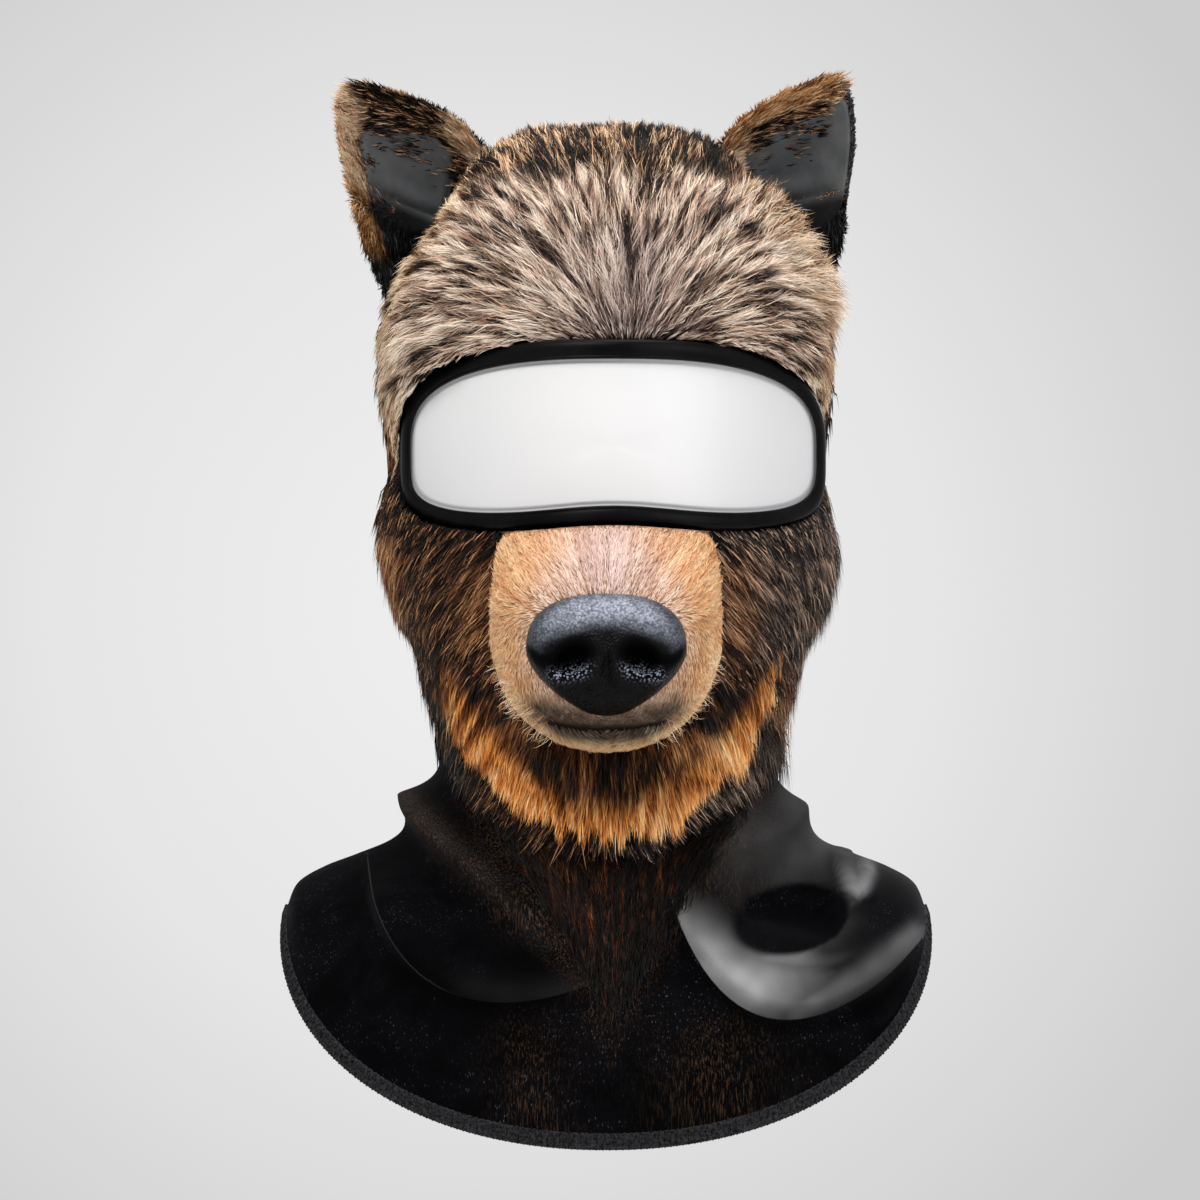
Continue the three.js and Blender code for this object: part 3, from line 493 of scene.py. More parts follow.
def makeVelvetFinish():
    # brushed pile: broad patches of nap, a painted sheen where a fold turns to the light, brown print and a little lint
    finish, nodes, links, shader = newFinish("velvetFinish", Roughness=0.8, Specular_IOR_Level=0.03,
                                             Sheen_Weight=0.03, Sheen_Roughness=0.3)
    shader.inputs["Sheen Tint"].default_value = (0.6, 0.64, 0.75, 1)
    place = nodes.new("ShaderNodeTexCoord").outputs["Object"]

    def texture(kind, vector, output, inputs):
        return linkedNode(nodes, links, kind, {"Vector": vector}, inputs).outputs[output]

    def stretched(inputs):
        return texture("ShaderNodeMapping", place, "Vector", inputs)

    def ranged(value, low, high, interpolation="SMOOTHSTEP"):
        limits = {"From Min": low, "From Max": high}
        return linkedNode(nodes, links, "ShaderNodeMapRange", {"Value": value}, limits,
                          interpolation_type=interpolation).outputs["Result"]

    def combined(operation, first, second):
        return linkedNode(nodes, links, "ShaderNodeMath", {0: first, 1: second},
                          operation=operation).outputs["Value"]

    def masked(name):
        return addNode(nodes, "ShaderNodeAttribute", attribute_name=name).outputs["Fac"]

    nap = texture("ShaderNodeTexNoise", place, "Fac",
                  {"Scale": 34.0, "Detail": 5.0, "Roughness": 0.62, "Distortion": 0.6})
    grain = texture("ShaderNodeTexNoise", place, "Fac", {"Scale": velvetLook["pileScale"], "Detail": 2.0})
    ground = addRamp(nodes, links, nap, (0.38, velvetLook["ground"]), (0.72, velvetLook["worn"]))
    # lint hangs a little drawn out, and only where the nap is brushed up
    lint = linkedNode(nodes, links, "ShaderNodeTexVoronoi",
                      {"Vector": stretched({"Rotation": (0, 0.35, 0), "Scale": (1.0, 1.0, 0.34)})},
                      {"Scale": velvetLook["lintScale"], "Randomness": 1.0})
    chosen = combined("MULTIPLY", ranged(lint.outputs["Color"], 0.4, 1.0, "LINEAR"), ranged(nap, 0.45, 0.62))
    fleck = combined("MULTIPLY", ranged(lint.outputs["Distance"], 0.3, 0.1), chosen)
    # the print's streaks run down: noise on coordinates that are drawn out along z
    hairs = texture("ShaderNodeTexNoise", stretched({"Scale": (1.0, 1.0, 0.07)}), "Fac",
                    {"Scale": 1500.0, "Detail": 3.0, "Roughness": 0.75})
    printed = combined("MULTIPLY", ranged(hairs, 0.5, 0.66), masked("print"))
    # ridge is 0.5 on a swag's edge and grows inwards: the painted sheen ends there, and a thin painted highlight runs
    # along it
    ridge = masked("ridge")
    sheen = combined("MULTIPLY", ranged(ridge, 0.47, 0.52), masked("paintedSheen"))
    offset = linkedNode(nodes, links, "ShaderNodeMath", {0: ridge}, {1: 0.51}, operation="SUBTRACT")
    distance = linkedNode(nodes, links, "ShaderNodeMath", {0: offset.outputs["Value"]}, operation="ABSOLUTE")
    stripe = ranged(distance.outputs["Value"], 0.045, 0.0)
    paintedSheen = combined("MAXIMUM", sheen, combined("MULTIPLY", stripe, masked("line")))
    colour = ground.outputs["Color"]
    for share, over in ((paintedSheen, "paintedSheen"), (printed, "print"), (fleck, "lint")):
        layer = addNode(nodes, "ShaderNodeMix", data_type="RGBA")
        layer.inputs["B"].default_value = (*velvetLook[over], 1)
        links.new(share, layer.inputs["Factor"])
        links.new(colour, layer.inputs["A"])
        colour = layer.outputs["Result"]
    links.new(colour, shader.inputs["Base Color"])
    addBump(nodes, links, shader, grain, 0.35, 0.0004)
    return finish


def makeBindingFinish():
    # tight overlock thread: fine ribs across the band
    finish, nodes, links, shader = newFinish("bindingFinish", Roughness=0.8, Specular_IOR_Level=0.08)
    place = nodes.new("ShaderNodeTexCoord")
    noise = addNode(nodes, "ShaderNodeTexNoise", {"Scale": 900.0, "Detail": 3.0})
    links.new(place.outputs["Object"], noise.inputs["Vector"])
    ramp = addRamp(nodes, links, noise.outputs["Fac"], (0.35, tone(14, 14, 15)), (0.7, tone(54, 54, 57)))
    links.new(ramp.outputs["Color"], shader.inputs["Base Color"])
    addBump(nodes, links, shader, noise.outputs["Fac"], 0.7, 0.0006)
    return finish


# the pale pebble colours paint the crest's highlight and the blue-white one the glints under the nostrils; hide and
# worn are the hide's own black, and hide also paints the shade in the hollows
noseTones = {"pebbleHighlight": tone(178, 184, 200), "between": tone(112, 116, 128), "hide": tone(2, 2, 2),
             "worn": tone(13, 12, 12), "paintedGlint": tone(190, 198, 220)}


def makeNoseFinish():
    # pebbled black hide: a blue-grey painted highlight lies on the crest, partly the hide's own pale tone; the hollows
    # get near-black painted shade, and painted glints of blue-white specks lie below them
    finish, nodes, links, shader = newFinish("noseFinish", Specular_IOR_Level=0.07)
    place = nodes.new("ShaderNodeTexCoord")
    large = addNode(nodes, "ShaderNodeTexVoronoi", {"Scale": 1050.0, "Randomness": 1.0}, feature="SMOOTH_F1")
    small = addNode(nodes, "ShaderNodeTexVoronoi", {"Scale": 900.0, "Randomness": 1.0})
    tint = addNode(nodes, "ShaderNodeTexNoise", {"Scale": 240.0, "Detail": 4.0})
    for texture in (large, small, tint):
        links.new(place.outputs["Object"], texture.inputs["Vector"])
    masks = {name: addNode(nodes, "ShaderNodeAttribute", attribute_name=name).outputs["Fac"]
             for name in ("crestToneAndSheen", "hollow", "paintedGlint")}
    pale = addRamp(nodes, links, large.outputs["Distance"], (0.1, noseTones["pebbleHighlight"]), (0.6, noseTones["between"]))
    dark = addRamp(nodes, links, tint.outputs["Fac"], (0.3, noseTones["hide"]), (0.75, noseTones["worn"]))
    # the crest's painted highlight fades out in blotches that follow the noise
    uneven = addNode(nodes, "ShaderNodeMath", {1: 1.5, 2: 0.2}, operation="MULTIPLY_ADD")
    links.new(tint.outputs["Fac"], uneven.inputs[0])
    faded = addNode(nodes, "ShaderNodeMath", operation="MULTIPLY", use_clamp=True)
    links.new(uneven.outputs["Value"], faded.inputs[0])
    links.new(masks["crestToneAndSheen"], faded.inputs[1])
    specks = addNode(nodes, "ShaderNodeMapRange", {"From Min": 0.5, "From Max": 0.26}, interpolation_type="SMOOTHSTEP")
    links.new(small.outputs["Distance"], specks.inputs["Value"])
    paintedGlint = addNode(nodes, "ShaderNodeMath", operation="MULTIPLY")
    links.new(specks.outputs["Result"], paintedGlint.inputs[0])
    links.new(masks["paintedGlint"], paintedGlint.inputs[1])
    colour = dark.outputs["Color"]
    for share, over in ((faded.outputs["Value"], pale), (masks["hollow"], "hide"), (paintedGlint.outputs["Value"], "paintedGlint")):
        layer = addNode(nodes, "ShaderNodeMix", data_type="RGBA")
        links.new(share, layer.inputs["Factor"])
        links.new(colour, layer.inputs["A"])
        if isinstance(over, str):
            layer.inputs["B"].default_value = (*noseTones[over], 1)
        else:
            links.new(over.outputs["Color"], layer.inputs["B"])
        colour = layer.outputs["Result"]
    links.new(colour, shader.inputs["Base Color"])
    rough = addNode(nodes, "ShaderNodeMath", {1: 0.6, 2: 0.32}, operation="MULTIPLY_ADD", use_clamp=True)
    links.new(masks["hollow"], rough.inputs[0])
    links.new(rough.outputs["Value"], shader.inputs["Roughness"])
    both = addNode(nodes, "ShaderNodeMath", operation="ADD")
    links.new(large.outputs["Distance"], both.inputs[0])
    links.new(small.outputs["Distance"], both.inputs[1])
    turned = addNode(nodes, "ShaderNodeMath", {0: 1.0}, operation="SUBTRACT")
    links.new(both.outputs["Value"], turned.inputs[1])
    addBump(nodes, links, shader, turned.outputs["Value"], 0.6, 0.0006)
    return finish


def makeFrameFinish():
    finish, nodes, links, shader = newFinish("frameFinish", Roughness=0.36, Specular_IOR_Level=0.07)
    place = nodes.new("ShaderNodeTexCoord")
    grain = addNode(nodes, "ShaderNodeTexNoise", {"Scale": 1900.0, "Detail": 2.0})
    wear = addNode(nodes, "ShaderNodeTexNoise", {"Scale": 60.0, "Detail": 5.0})
    for texture in (grain, wear):
        links.new(place.outputs["Object"], texture.inputs["Vector"])
    ramp = addRamp(nodes, links, wear.outputs["Fac"], (0.4, tone(5, 5, 6)), (0.75, tone(16, 16, 17)))
    links.new(ramp.outputs["Color"], shader.inputs["Base Color"])
    addBump(nodes, links, shader, grain.outputs["Fac"], 0.25, 0.0002)
    return finish


def makeLensFinish():
    # pearl white under a clear coat, with painted shade that greys it to the foot and the ends
    finish, nodes, links, shader = newFinish("lensFinish", Roughness=0.3, Specular_IOR_Level=0.2,
                                             Coat_Weight=0.12, Coat_Roughness=0.12)
    shade = addNode(nodes, "ShaderNodeAttribute", attribute_name="shade")
    ramp = addRamp(nodes, links, shade.outputs["Fac"], (0.0, tone(228, 228, 229)), (1.0, tone(214, 214, 216)))
    links.new(ramp.outputs["Color"], shader.inputs["Base Color"])
    return finish


def makeLiningFinish():
    # smooth dark grey cloth, brushed, darker below the crease
    finish, nodes, links, shader = newFinish("liningFinish", Roughness=0.6, Specular_IOR_Level=0.25,
                                             Sheen_Weight=0.2, Sheen_Roughness=0.35)
    place = nodes.new("ShaderNodeTexCoord")
    noise = addNode(nodes, "ShaderNodeTexNoise", {"Scale": 90.0, "Detail": 4.0})
    weave = addNode(nodes, "ShaderNodeTexNoise", {"Scale": 2600.0, "Detail": 2.0})
    for texture in (noise, weave):
        links.new(place.outputs["Object"], texture.inputs["Vector"])
    ramp = addRamp(nodes, links, noise.outputs["Fac"], (0.3, tone(82, 85, 88)), (0.75, tone(108, 111, 114)))
    darkening = addNode(nodes, "ShaderNodeAttribute", attribute_name="darkening")
    blend = addNode(nodes, "ShaderNodeMix", data_type="RGBA")
    blend.inputs["B"].default_value = (*tone(12, 12, 13), 1)
    links.new(darkening.outputs["Fac"], blend.inputs["Factor"])
    links.new(ramp.outputs["Color"], blend.inputs["A"])
    links.new(blend.outputs["Result"], shader.inputs["Base Color"])
    addBump(nodes, links, shader, weave.outputs["Fac"], 0.3, 0.0002)
    return finish


furFinish = makeFurFinish()
darkBacking = makeBackingFinish("darkBacking", tone(14, 11, 10), tone(34, 26, 21))
tanBacking = makeBackingFinish("tanBacking", tone(120, 88, 66), tone(186, 146, 116))
velvetFinish = makeVelvetFinish()
bindingFinish = makeBindingFinish()
noseFinish = makeNoseFinish()
frameFinish = makeFrameFinish()
lensFinish = makeLensFinish()
liningFinish = makeLiningFinish()
print("finishes made")


# Fur: tapering blades grown on a surface and drawn together into locks

def scatterRoots(surface, uRange, sRange, count, density, rng, cells=(200, 150)):
    # roots fall in a grid's cells in proportion to area times density, evenly within each cell
    u = np.linspace(*uRange, cells[0] + 1)
    s = np.linspace(*sRange, cells[1] + 1)
    grid = surface(u[None, :], s[:, None])
    sides = np.cross(grid[1:, :-1] - grid[:-1, :-1], grid[:-1, 1:] - grid[:-1, :-1])
    centre = (grid[1:, 1:] + grid[:-1, :-1]) / 2
    weight = np.cumsum((np.linalg.norm(sides, axis=-1) * density(*np.moveaxis(centre, -1, 0))).ravel())
    pick = np.minimum(np.searchsorted(weight, rng.random(count) * weight[-1]), weight.size - 1)
    row, column = np.unravel_index(pick, sides.shape[:2])
    return u[column] + rng.random(count) * (u[1] - u[0]), s[row] + rng.random(count) * (s[1] - s[0])


def onSurface(vector, normals):
    return unit(vector - normals * np.sum(vector * normals, -1, keepdims=True))


def lockCells(across, along, size, seed):
    # nearest of the jittered centres in the nine cells round each root: offset across it, and its values
    ca, cl = across / size[0], along / size[1]
    near = np.full(across.shape, 1e9)
    offset = np.zeros(across.shape)
    values = [np.zeros(across.shape) for _ in range(4)]
    for da in (-1, 0, 1):
        for dl in (-1, 0, 1):
            ia, il = np.floor(ca).astype(np.int64) + da, np.floor(cl).astype(np.int64) + dl
            ja, jl = latticeValue(ia, il, 1, seed), latticeValue(ia, il, 2, seed)
            distance = (ca - ia - ja) ** 2 + (cl - il - jl) ** 2
            closer = distance < near
            near = np.where(closer, distance, near)
            offset = np.where(closer, (ca - ia - ja) * size[0], offset)
            values = [np.where(closer, latticeValue(ia, il, 3 + k, seed), v) for k, v in enumerate(values)]
    return offset, values


def growFur(name, roots, normals, flows, look, placeOf, toneAt, rng):
    # each blade bends from its lift at the root towards the surface, droops, and leans to its lock's middle:
    # p(s + 1/n) = p(s) + length/n * direction(s); its colour is that of the pattern at each of its points
    count = len(roots)

    def each(key, usual):
        return np.broadcast_to(np.asarray(look.get(key, usual), float), (count,))

    across, along = placeOf(roots)
    wander = look.get("wander", 2 * mm) * latticeNoise(*(roots.T / (9 * mm)), 3)
    offset, lock = lockCells(across + wander, along, look["lock"], look["seed"])
    length = each("length", 15 * mm) * (1 + each("spread", 0.25) * rng.uniform(-1, 1, count))
    length = length * (1 + each("lockLength", 0.4) * (lock[1] - 0.5))
    lift = each("lift", 0.3) + each("lockLift", 0.3) * (lock[2] - 0.5) + 0.12 * rng.normal(0, 1, count)
    aside = np.cross(normals, flows)
    heading = unit(flows + aside * (each("sway", 0.14) * rng.normal(0, 1, count))[:, None])
    bend = each("bend", 0.35) * rng.normal(0, 1, count) + each("lockBend", 0) * (lock[3] - 0.5)
    slope = (placeOf(roots + aside * (0.2 * mm))[0] - across) / (0.2 * mm)
    pull = -offset * each("gather", 0.6) * np.sign(slope) * (np.abs(slope) > 0.2)
    steps = look.get("steps", 2)
    path = [roots]
    for k in range(steps):
        s = k / max(1, steps - 1)
        rise = lift * (1 - each("lay", 0.7) * s)
        way = heading * np.cos(rise)[:, None] + normals * np.sin(rise)[:, None]
        way = way + aside * (bend * (s - 0.4))[:, None] - np.array([0, 0, 1]) * (each("droop", 0) * s)[:, None]
        path.append(path[-1] + unit(way) * (length / steps)[:, None])
    for k in range(1, steps + 1):
        path[k] = path[k] + aside * (pull * (k / steps) ** 1.5)[:, None]
    first = unit(path[1] - path[0])
    side = unit(np.cross(first, normals) + 1e-9)
    roll = (each("roll", 0.5) * rng.normal(0, 1, count))[:, None]
    side = side * np.cos(roll) + np.cross(first, side) * np.sin(roll)
    half = (each("width", 0.5 * mm) * rng.uniform(0.7, 1.3, count) / 2)[:, None]
    chance = rng.random(count)
    points, colours = [], []
    for k in range(steps + 1):
        s = k / steps
        # each blade darkens towards its root: the fur's banding, with painted shade deep in the pile
        colour = toneAt(path[k], chance, lock) * mix(look.get("rootShade", 0.35), 1.1, s ** look.get("shadePower", 0.6))
        if k < steps:
            reach = half * (0.6 + 0.4 * min(1, 2 * s)) * (1 - 0.35 * s ** 2)
            points += [path[k] - side * reach, path[k] + side * reach]
            colours += [colour, colour]
        else:
            points.append(path[k])
            colours.append(colour)
    corners = []
    for k in range(steps - 1):
        corners += [[2 * k, 2 * k + 1, 2 * k + 3], [2 * k, 2 * k + 3, 2 * k + 2]]
    corners.append([2 * steps - 2, 2 * steps - 1, 2 * steps])
    start = np.arange(count)[:, None] * (2 * steps + 1)
    faces = np.concatenate([start + c for c in corners], 0)
    piece = makePiece(name, np.stack(points, 1), faces, False, np.stack(colours, 1))
    print(name, count, "strands")
    return piece


def streaks(place, look, chance, lock):
    # spots and fine streaks along the pile, each blade's chance and its lock's, about 0 in the middle:
    # gains times (spots - 1/2), (streaks - 1/2), (chance^rare - its mean) and (lock - 1/2)
    across, along = place
    gains, rare = look["gains"], look.get("rare", 1)
    spots = latticeNoise(across / look["spot"][0], along / look["spot"][1], 0, look["seed"] + 20)
    fine = latticeNoise(across / look["fine"][0], along / look["fine"][1], 0, look["seed"] + 40)
    return gains[0] * (spots - 0.5) + gains[1] * (fine - 0.5) + gains[2] * (chance ** rare - 1 / (1 + rare)) \
        + gains[3] * (lock[0] - 0.5)


def pickTone(palette, choice):
    # a palette's colour by a value from 0 to 1, blended between neighbours
    table = np.stack(palette)
    at = np.clip(choice, 0, 0.9999) * (len(table) - 1)
    i = np.floor(at).astype(int)
    return mix(table[i], table[i + 1], (at - i)[:, None])


# Hood: the woven shell under the pile, cut out for the visor

hoodLook = {"columns": 104, "rows": 60, "cut": 0.985}


def buildHood():
    angle = np.arange(hoodLook["columns"]) * 2 * math.pi / hoodLook["columns"]
    share = np.linspace(1, 0.002, hoodLook["rows"] + 1)
    points = closePole(hoodSurface(angle[None, :], share[:, None]))[::-1]
    faces = gridFaces(len(points), len(angle))
    x, y, z = np.moveaxis(points.reshape(-1, 3), -1, 0)
    ratio = np.where(y < 0, visorRatio(x, z), 9)
    inside = ratio < hoodLook["cut"]
    faces = faces[~inside[faces].all(1)]
    # the points that stay inside the outline move out to it: middle + (point - middle) * cut / ratio
    out = np.where(inside, hoodLook["cut"] / np.maximum(ratio, 0.1), 1)
    x, z = visorSize["x"] + (x - visorSize["x"]) * out, visorSize["z"] + (z - visorSize["z"]) * out
    # and the shell's edge stays behind the frame's face
    y = np.where(ratio < 1.04, np.maximum(y, visorFront(x - visorSize["x"]) + 8 * mm), y)
    points, faces = onlyUsed(vectors(x, y, z), faces)
    hood = makePiece("hood_shell", points, faces)
    solidify(hood, hoodSize["wall"])
    return place(hood, "brown_fur", darkBacking, "hood")


buildHood()
print("hood made")


# Pile of the hood, in three fields that meet

pileSource = np.array([8.6, -96, -108]) * mm
pileTones = {
    "forehead": [tone(16, 14, 13), tone(50, 38, 33), tone(148, 116, 99), tone(232, 194, 166), tone(255, 238, 218)],
    "centre": [tone(38, 31, 30), tone(98, 80, 75), tone(164, 138, 128), tone(212, 188, 176), tone(246, 228, 216)],
    "golden": [tone(36, 26, 20), tone(110, 76, 50), tone(196, 148, 104), tone(232, 194, 152), tone(250, 226, 196)],
    "crown": [tone(10, 8, 7), tone(24, 18, 15), tone(96, 66, 46), tone(214, 164, 122), tone(250, 212, 172)],
    "cheekLeft": [tone(12, 11, 11), tone(24, 19, 17), tone(50, 35, 27), tone(128, 82, 54), tone(212, 152, 104)],
    "cheekRight": [tone(15, 14, 14), tone(36, 31, 30), tone(80, 68, 62), tone(158, 132, 116), tone(212, 178, 152)],
    "coal": [tone(9, 9, 10), tone(18, 18, 19), tone(34, 32, 31), tone(72, 62, 54), tone(128, 106, 86)],
    "rust": [tone(30, 18, 13), tone(84, 46, 27), tone(156, 92, 52), tone(216, 150, 94), tone(240, 192, 140)],
    "pelt": [tone(12, 10, 9), tone(28, 21, 17), tone(62, 44, 33), tone(124, 86, 60), tone(188, 142, 104)],
}


def pileFlow(points, normals):
    # away from the source under the visor's top, turned outwards by a share of the turn from straight up;
    # below the source down and outwards from the muzzle's root, and straight down behind
    x, y, z = np.moveaxis(points, -1, 0)
    turn = np.arctan2(x - pileSource[0], np.maximum(z - pileSource[2], 1 * mm))
    more = mix(0.5, 0.26, smooth((z + 88 * mm) / (56 * mm)))
    lean = np.tan(np.minimum(more * np.abs(turn), 1.2)) * np.sign(turn)
    away = unit(points - pileSource) + vectors(lean * np.cos(turn), 0 * x, -lean * np.sin(turn))
    away = onSurface(away, normals)
    side = np.tanh(x / (14 * mm))
    down = onSurface(vectors(side * 0.9, 0.25, np.full(x.shape, -1.0)), normals)
    nape = onSurface(vectors(0 * x, 0 * x, np.full(x.shape, -1.0)), normals)
    low = smooth((-98 * mm - z) / (60 * mm))
    behind = smooth(y / (70 * mm))
    flow = away * (1 - low)[:, None] + down * (low * (1 - behind))[:, None] + nape * (behind * 0.9)[:, None]
    return onSurface(flow, normals)


def fanPlace(points):
    # across stays the same along the pile: the turn round the source over the distance to the power 0.36
    x, y, z = np.moveaxis(points - pileSource, -1, 0)
    reach = np.maximum(np.sqrt(x ** 2 + y ** 2 + z ** 2), 15 * mm)
    return np.arctan2(x, z) / (reach / (60 * mm)) ** 0.36 * 72 * mm, reach


def slantPlace(points):
    # across and along for pile that falls outwards at about 45 degrees
    x, y, z = np.moveaxis(points, -1, 0)
    return 0.74 * np.abs(x) + 0.67 * z - 0.4 * y, 0.67 * np.abs(x) - 0.74 * z + 0.3 * y


def roundPlace(points):
    # across goes round the head, along is down
    x, y, z = np.moveaxis(points, -1, 0)
    return np.arctan2(x, y) * 85 * mm, -z


foreheadLook = {"count": 56000, "width": 0.5 * mm, "lock": (2.1 * mm, 9 * mm), "gather": 0.95, "seed": 11,
                "spot": (2 * mm, 13 * mm), "fine": (0.62 * mm, 9 * mm), "gains": (0.75, 1.2, 0.5, 0.85),
                "crownFrom": -20 * mm, "crownGains": (0.5, 1.2, 1.1, 0.7)}


def buildForehead():
    look = foreheadLook
    rng = np.random.default_rng(look["seed"])

    def density(x, y, z):
        front = (visorRatio(x, z) > 1.012) * smooth((z + 150 * mm) / (30 * mm))
        return front * smooth((-y - 5 * mm) / (22 * mm))

    angle, share = scatterRoots(hoodSurface, (-1.6, 1.6), (0.004, 0.6), look["count"], density, rng)
    roots, normals = hoodSurface(angle, share), surfaceNormals(hoodSurface, angle, share)
    x, y, z = np.moveaxis(roots, -1, 0)
    edge = smooth((0.62 + normals[:, 1]) / 0.35)
    above = smooth((z - look["crownFrom"]) / (16 * mm))

    def toneAt(points, chance, lock):
        x, y, z = np.moveaxis(points, -1, 0)
        pattern = streaks(fanPlace(points), look, chance, lock)
        flecks = streaks(fanPlace(points), dict(look, gains=look["crownGains"], rare=2), chance, lock)
        centre = np.exp(-(((x - 8 * mm) / (26 * mm)) ** 2)) * smooth((-30 * mm - z) / (20 * mm))
        crown = smooth((z - look["crownFrom"]) / (8 * mm) + 2.2 * (latticeNoise(x / (5 * mm), 0.5, 0.5, 75) - 0.5))
        # a dark slot on the part line, some 6 mm wide
        slot = np.exp(-(((x - 9 * mm) / (3 * mm)) ** 2))
        slot = slot * smooth((z + 74 * mm) / (12 * mm)) * smooth((-30 * mm - z) / (12 * mm))
        value = 0.66 + mix(1, 0.7, centre) * pattern - 0.75 * slot - 0.05 * smooth((x - 10 * mm) / (20 * mm))
        pale = mix(pickTone(pileTones["forehead"], value), pickTone(pileTones["centre"], value), centre[:, None])
        pale = mix(pale, pickTone(pileTones["golden"], value + 0.1), (edge * 0.85)[:, None])
        darkening = 0.14 * smooth((x - 14 * mm) / (20 * mm))
        dark = pickTone(pileTones["crown"], 0.25 + flecks - darkening + 0.25 * smooth((z - 3 * mm) / (6 * mm)))
        return mix(pale, dark, crown[:, None])

    length = mix(mix(14, 12, edge), 8, above) * mm
    nearVisor = mix(0.4, 1, smooth((visorRatio(x, z) - 1.01) / 0.14))
    # the dome stands fuller on its right outline
    dome = smooth((x - 38 * mm) / (20 * mm)) * smooth((-20 * mm - z) / (14 * mm))
    dome = dome * smooth((z + 84 * mm) / (24 * mm))
    dome = dome * smooth((0.62 + normals[:, 1]) / 0.3)
    length = length + 11 * mm * dome
    look = dict(look, length=length * nearVisor, lay=mix(0.75, 0.4, above), sway=0.08,
                lift=np.maximum(mix(0.26, 0.75, above), 0.62 * dome),
                bend=0.2, lockBend=1.1, wander=1.2 * mm, rootShade=0.25, shadePower=0.8)
    fur = growFur("fur_forehead", roots, normals, pileFlow(roots, normals), look, fanPlace, toneAt, rng)
    place(fur, "brown_fur", furFinish)


cheekLook = {"count": 48000, "width": 0.4 * mm, "lock": (2.2 * mm, 10 * mm), "gather": 0.6, "seed": 12,
             "spot": (3.2 * mm, 14 * mm), "fine": (0.6 * mm, 9 * mm), "gains": (0.45, 0.9, 1.2, 0.3), "rare": 4}


def buildCheeks():
    look = cheekLook
    rng = np.random.default_rng(look["seed"])

    def density(x, y, z):
        front = (visorRatio(x, z) > 1.008) * smooth((-134 * mm - z) / (26 * mm)) * (y < 12 * mm)
        outward = 1.2 * smooth((np.abs(x) - 66 * mm) / (12 * mm))
        return front * (1 + outward + 2 * smooth((1.14 - visorRatio(x, z)) / 0.1))

    angle, share = scatterRoots(hoodSurface, (-1.75, 1.75), (0.46, 1), look["count"], density, rng)
    roots, normals = hoodSurface(angle, share), surfaceNormals(hoodSurface, angle, share)
    x, y, z = np.moveaxis(roots, -1, 0)

    def toneAt(points, chance, lock):
        x, y, z = np.moveaxis(points, -1, 0)
        value = 0.33 + streaks(slantPlace(points), look, chance, lock)
        left = smooth(0.5 - x / (30 * mm))[:, None]
        colour = mix(pickTone(pileTones["cheekRight"], value + 0.03), pickTone(pileTones["cheekLeft"], value), left)
        coal = smooth((-214 * mm - z) / (26 * mm)) * smooth((np.abs(x) - 54 * mm + 6 * mm * np.sign(-x)) / (12 * mm))
        colour = mix(colour, pickTone(pileTones["coal"], value - 0.05), coal[:, None] * 0.9)
        # rust beside the muzzle, tan on the left outline, orange locks low on the right
        rust = np.exp(-(((np.abs(x) - 54 * mm) / (8 * mm)) ** 2)) * smooth((z + 238 * mm) / (16 * mm))
        rust = rust * smooth((-166 * mm - z) / (18 * mm))
        outline = smooth((-x - 81 * mm) / (8 * mm))
        outline = outline * smooth((z + 208 * mm) / (12 * mm)) * smooth((-164 * mm - z) / (12 * mm))
        locks = np.exp(-(((x - 77 * mm) / (8 * mm)) ** 2)) * np.exp(-(((z + 238 * mm) / (13 * mm)) ** 2))
        warm = np.clip(0.6 * rust + 0.8 * outline + 0.75 * locks, 0, 1)
        return mix(colour, pickTone(pileTones["rust"], value + 0.12 + 0.1 * (outline + locks)), warm[:, None])

    low = smooth((-214 * mm - z) / (30 * mm))
    nearVisor = mix(0.35, 1, smooth((visorRatio(x, z) - 1.0) / 0.18))
    turned = smooth((0.55 + normals[:, 1]) / 0.35)
    # short smooth pile low on the left, fuller pile on the right outline
    bare = smooth((-x - 58 * mm) / (10 * mm)) * smooth((-226 * mm - z) / (20 * mm))
    full = mix(0.28, 0.5, smooth(0.5 + x / (60 * mm)))
    sides = mix(1.0, 1.3, smooth(0.5 + x / (60 * mm)))
    look = dict(look, length=mix(13, 15, low) * mm * nearVisor * mix(1, sides, turned) * (1 - 0.35 * bare),
                lift=mix(0.24, full, turned) * (1 - 0.5 * bare), droop=0.1, sway=0.09, bend=0.2, lockBend=0.5)
    fur = growFur("fur_cheeks", roots, normals, pileFlow(roots, normals), look, slantPlace, toneAt, rng)
    place(fur, "brown_fur", furFinish)


backLook = {"count": 28000, "width": 1.3 * mm, "lock": (6 * mm, 20 * mm), "gather": 0.65, "seed": 13,
            "spot": (5 * mm, 18 * mm), "fine": (1.5 * mm, 16 * mm), "gains": (1.0, 1.0, 0.6, 0.4)}


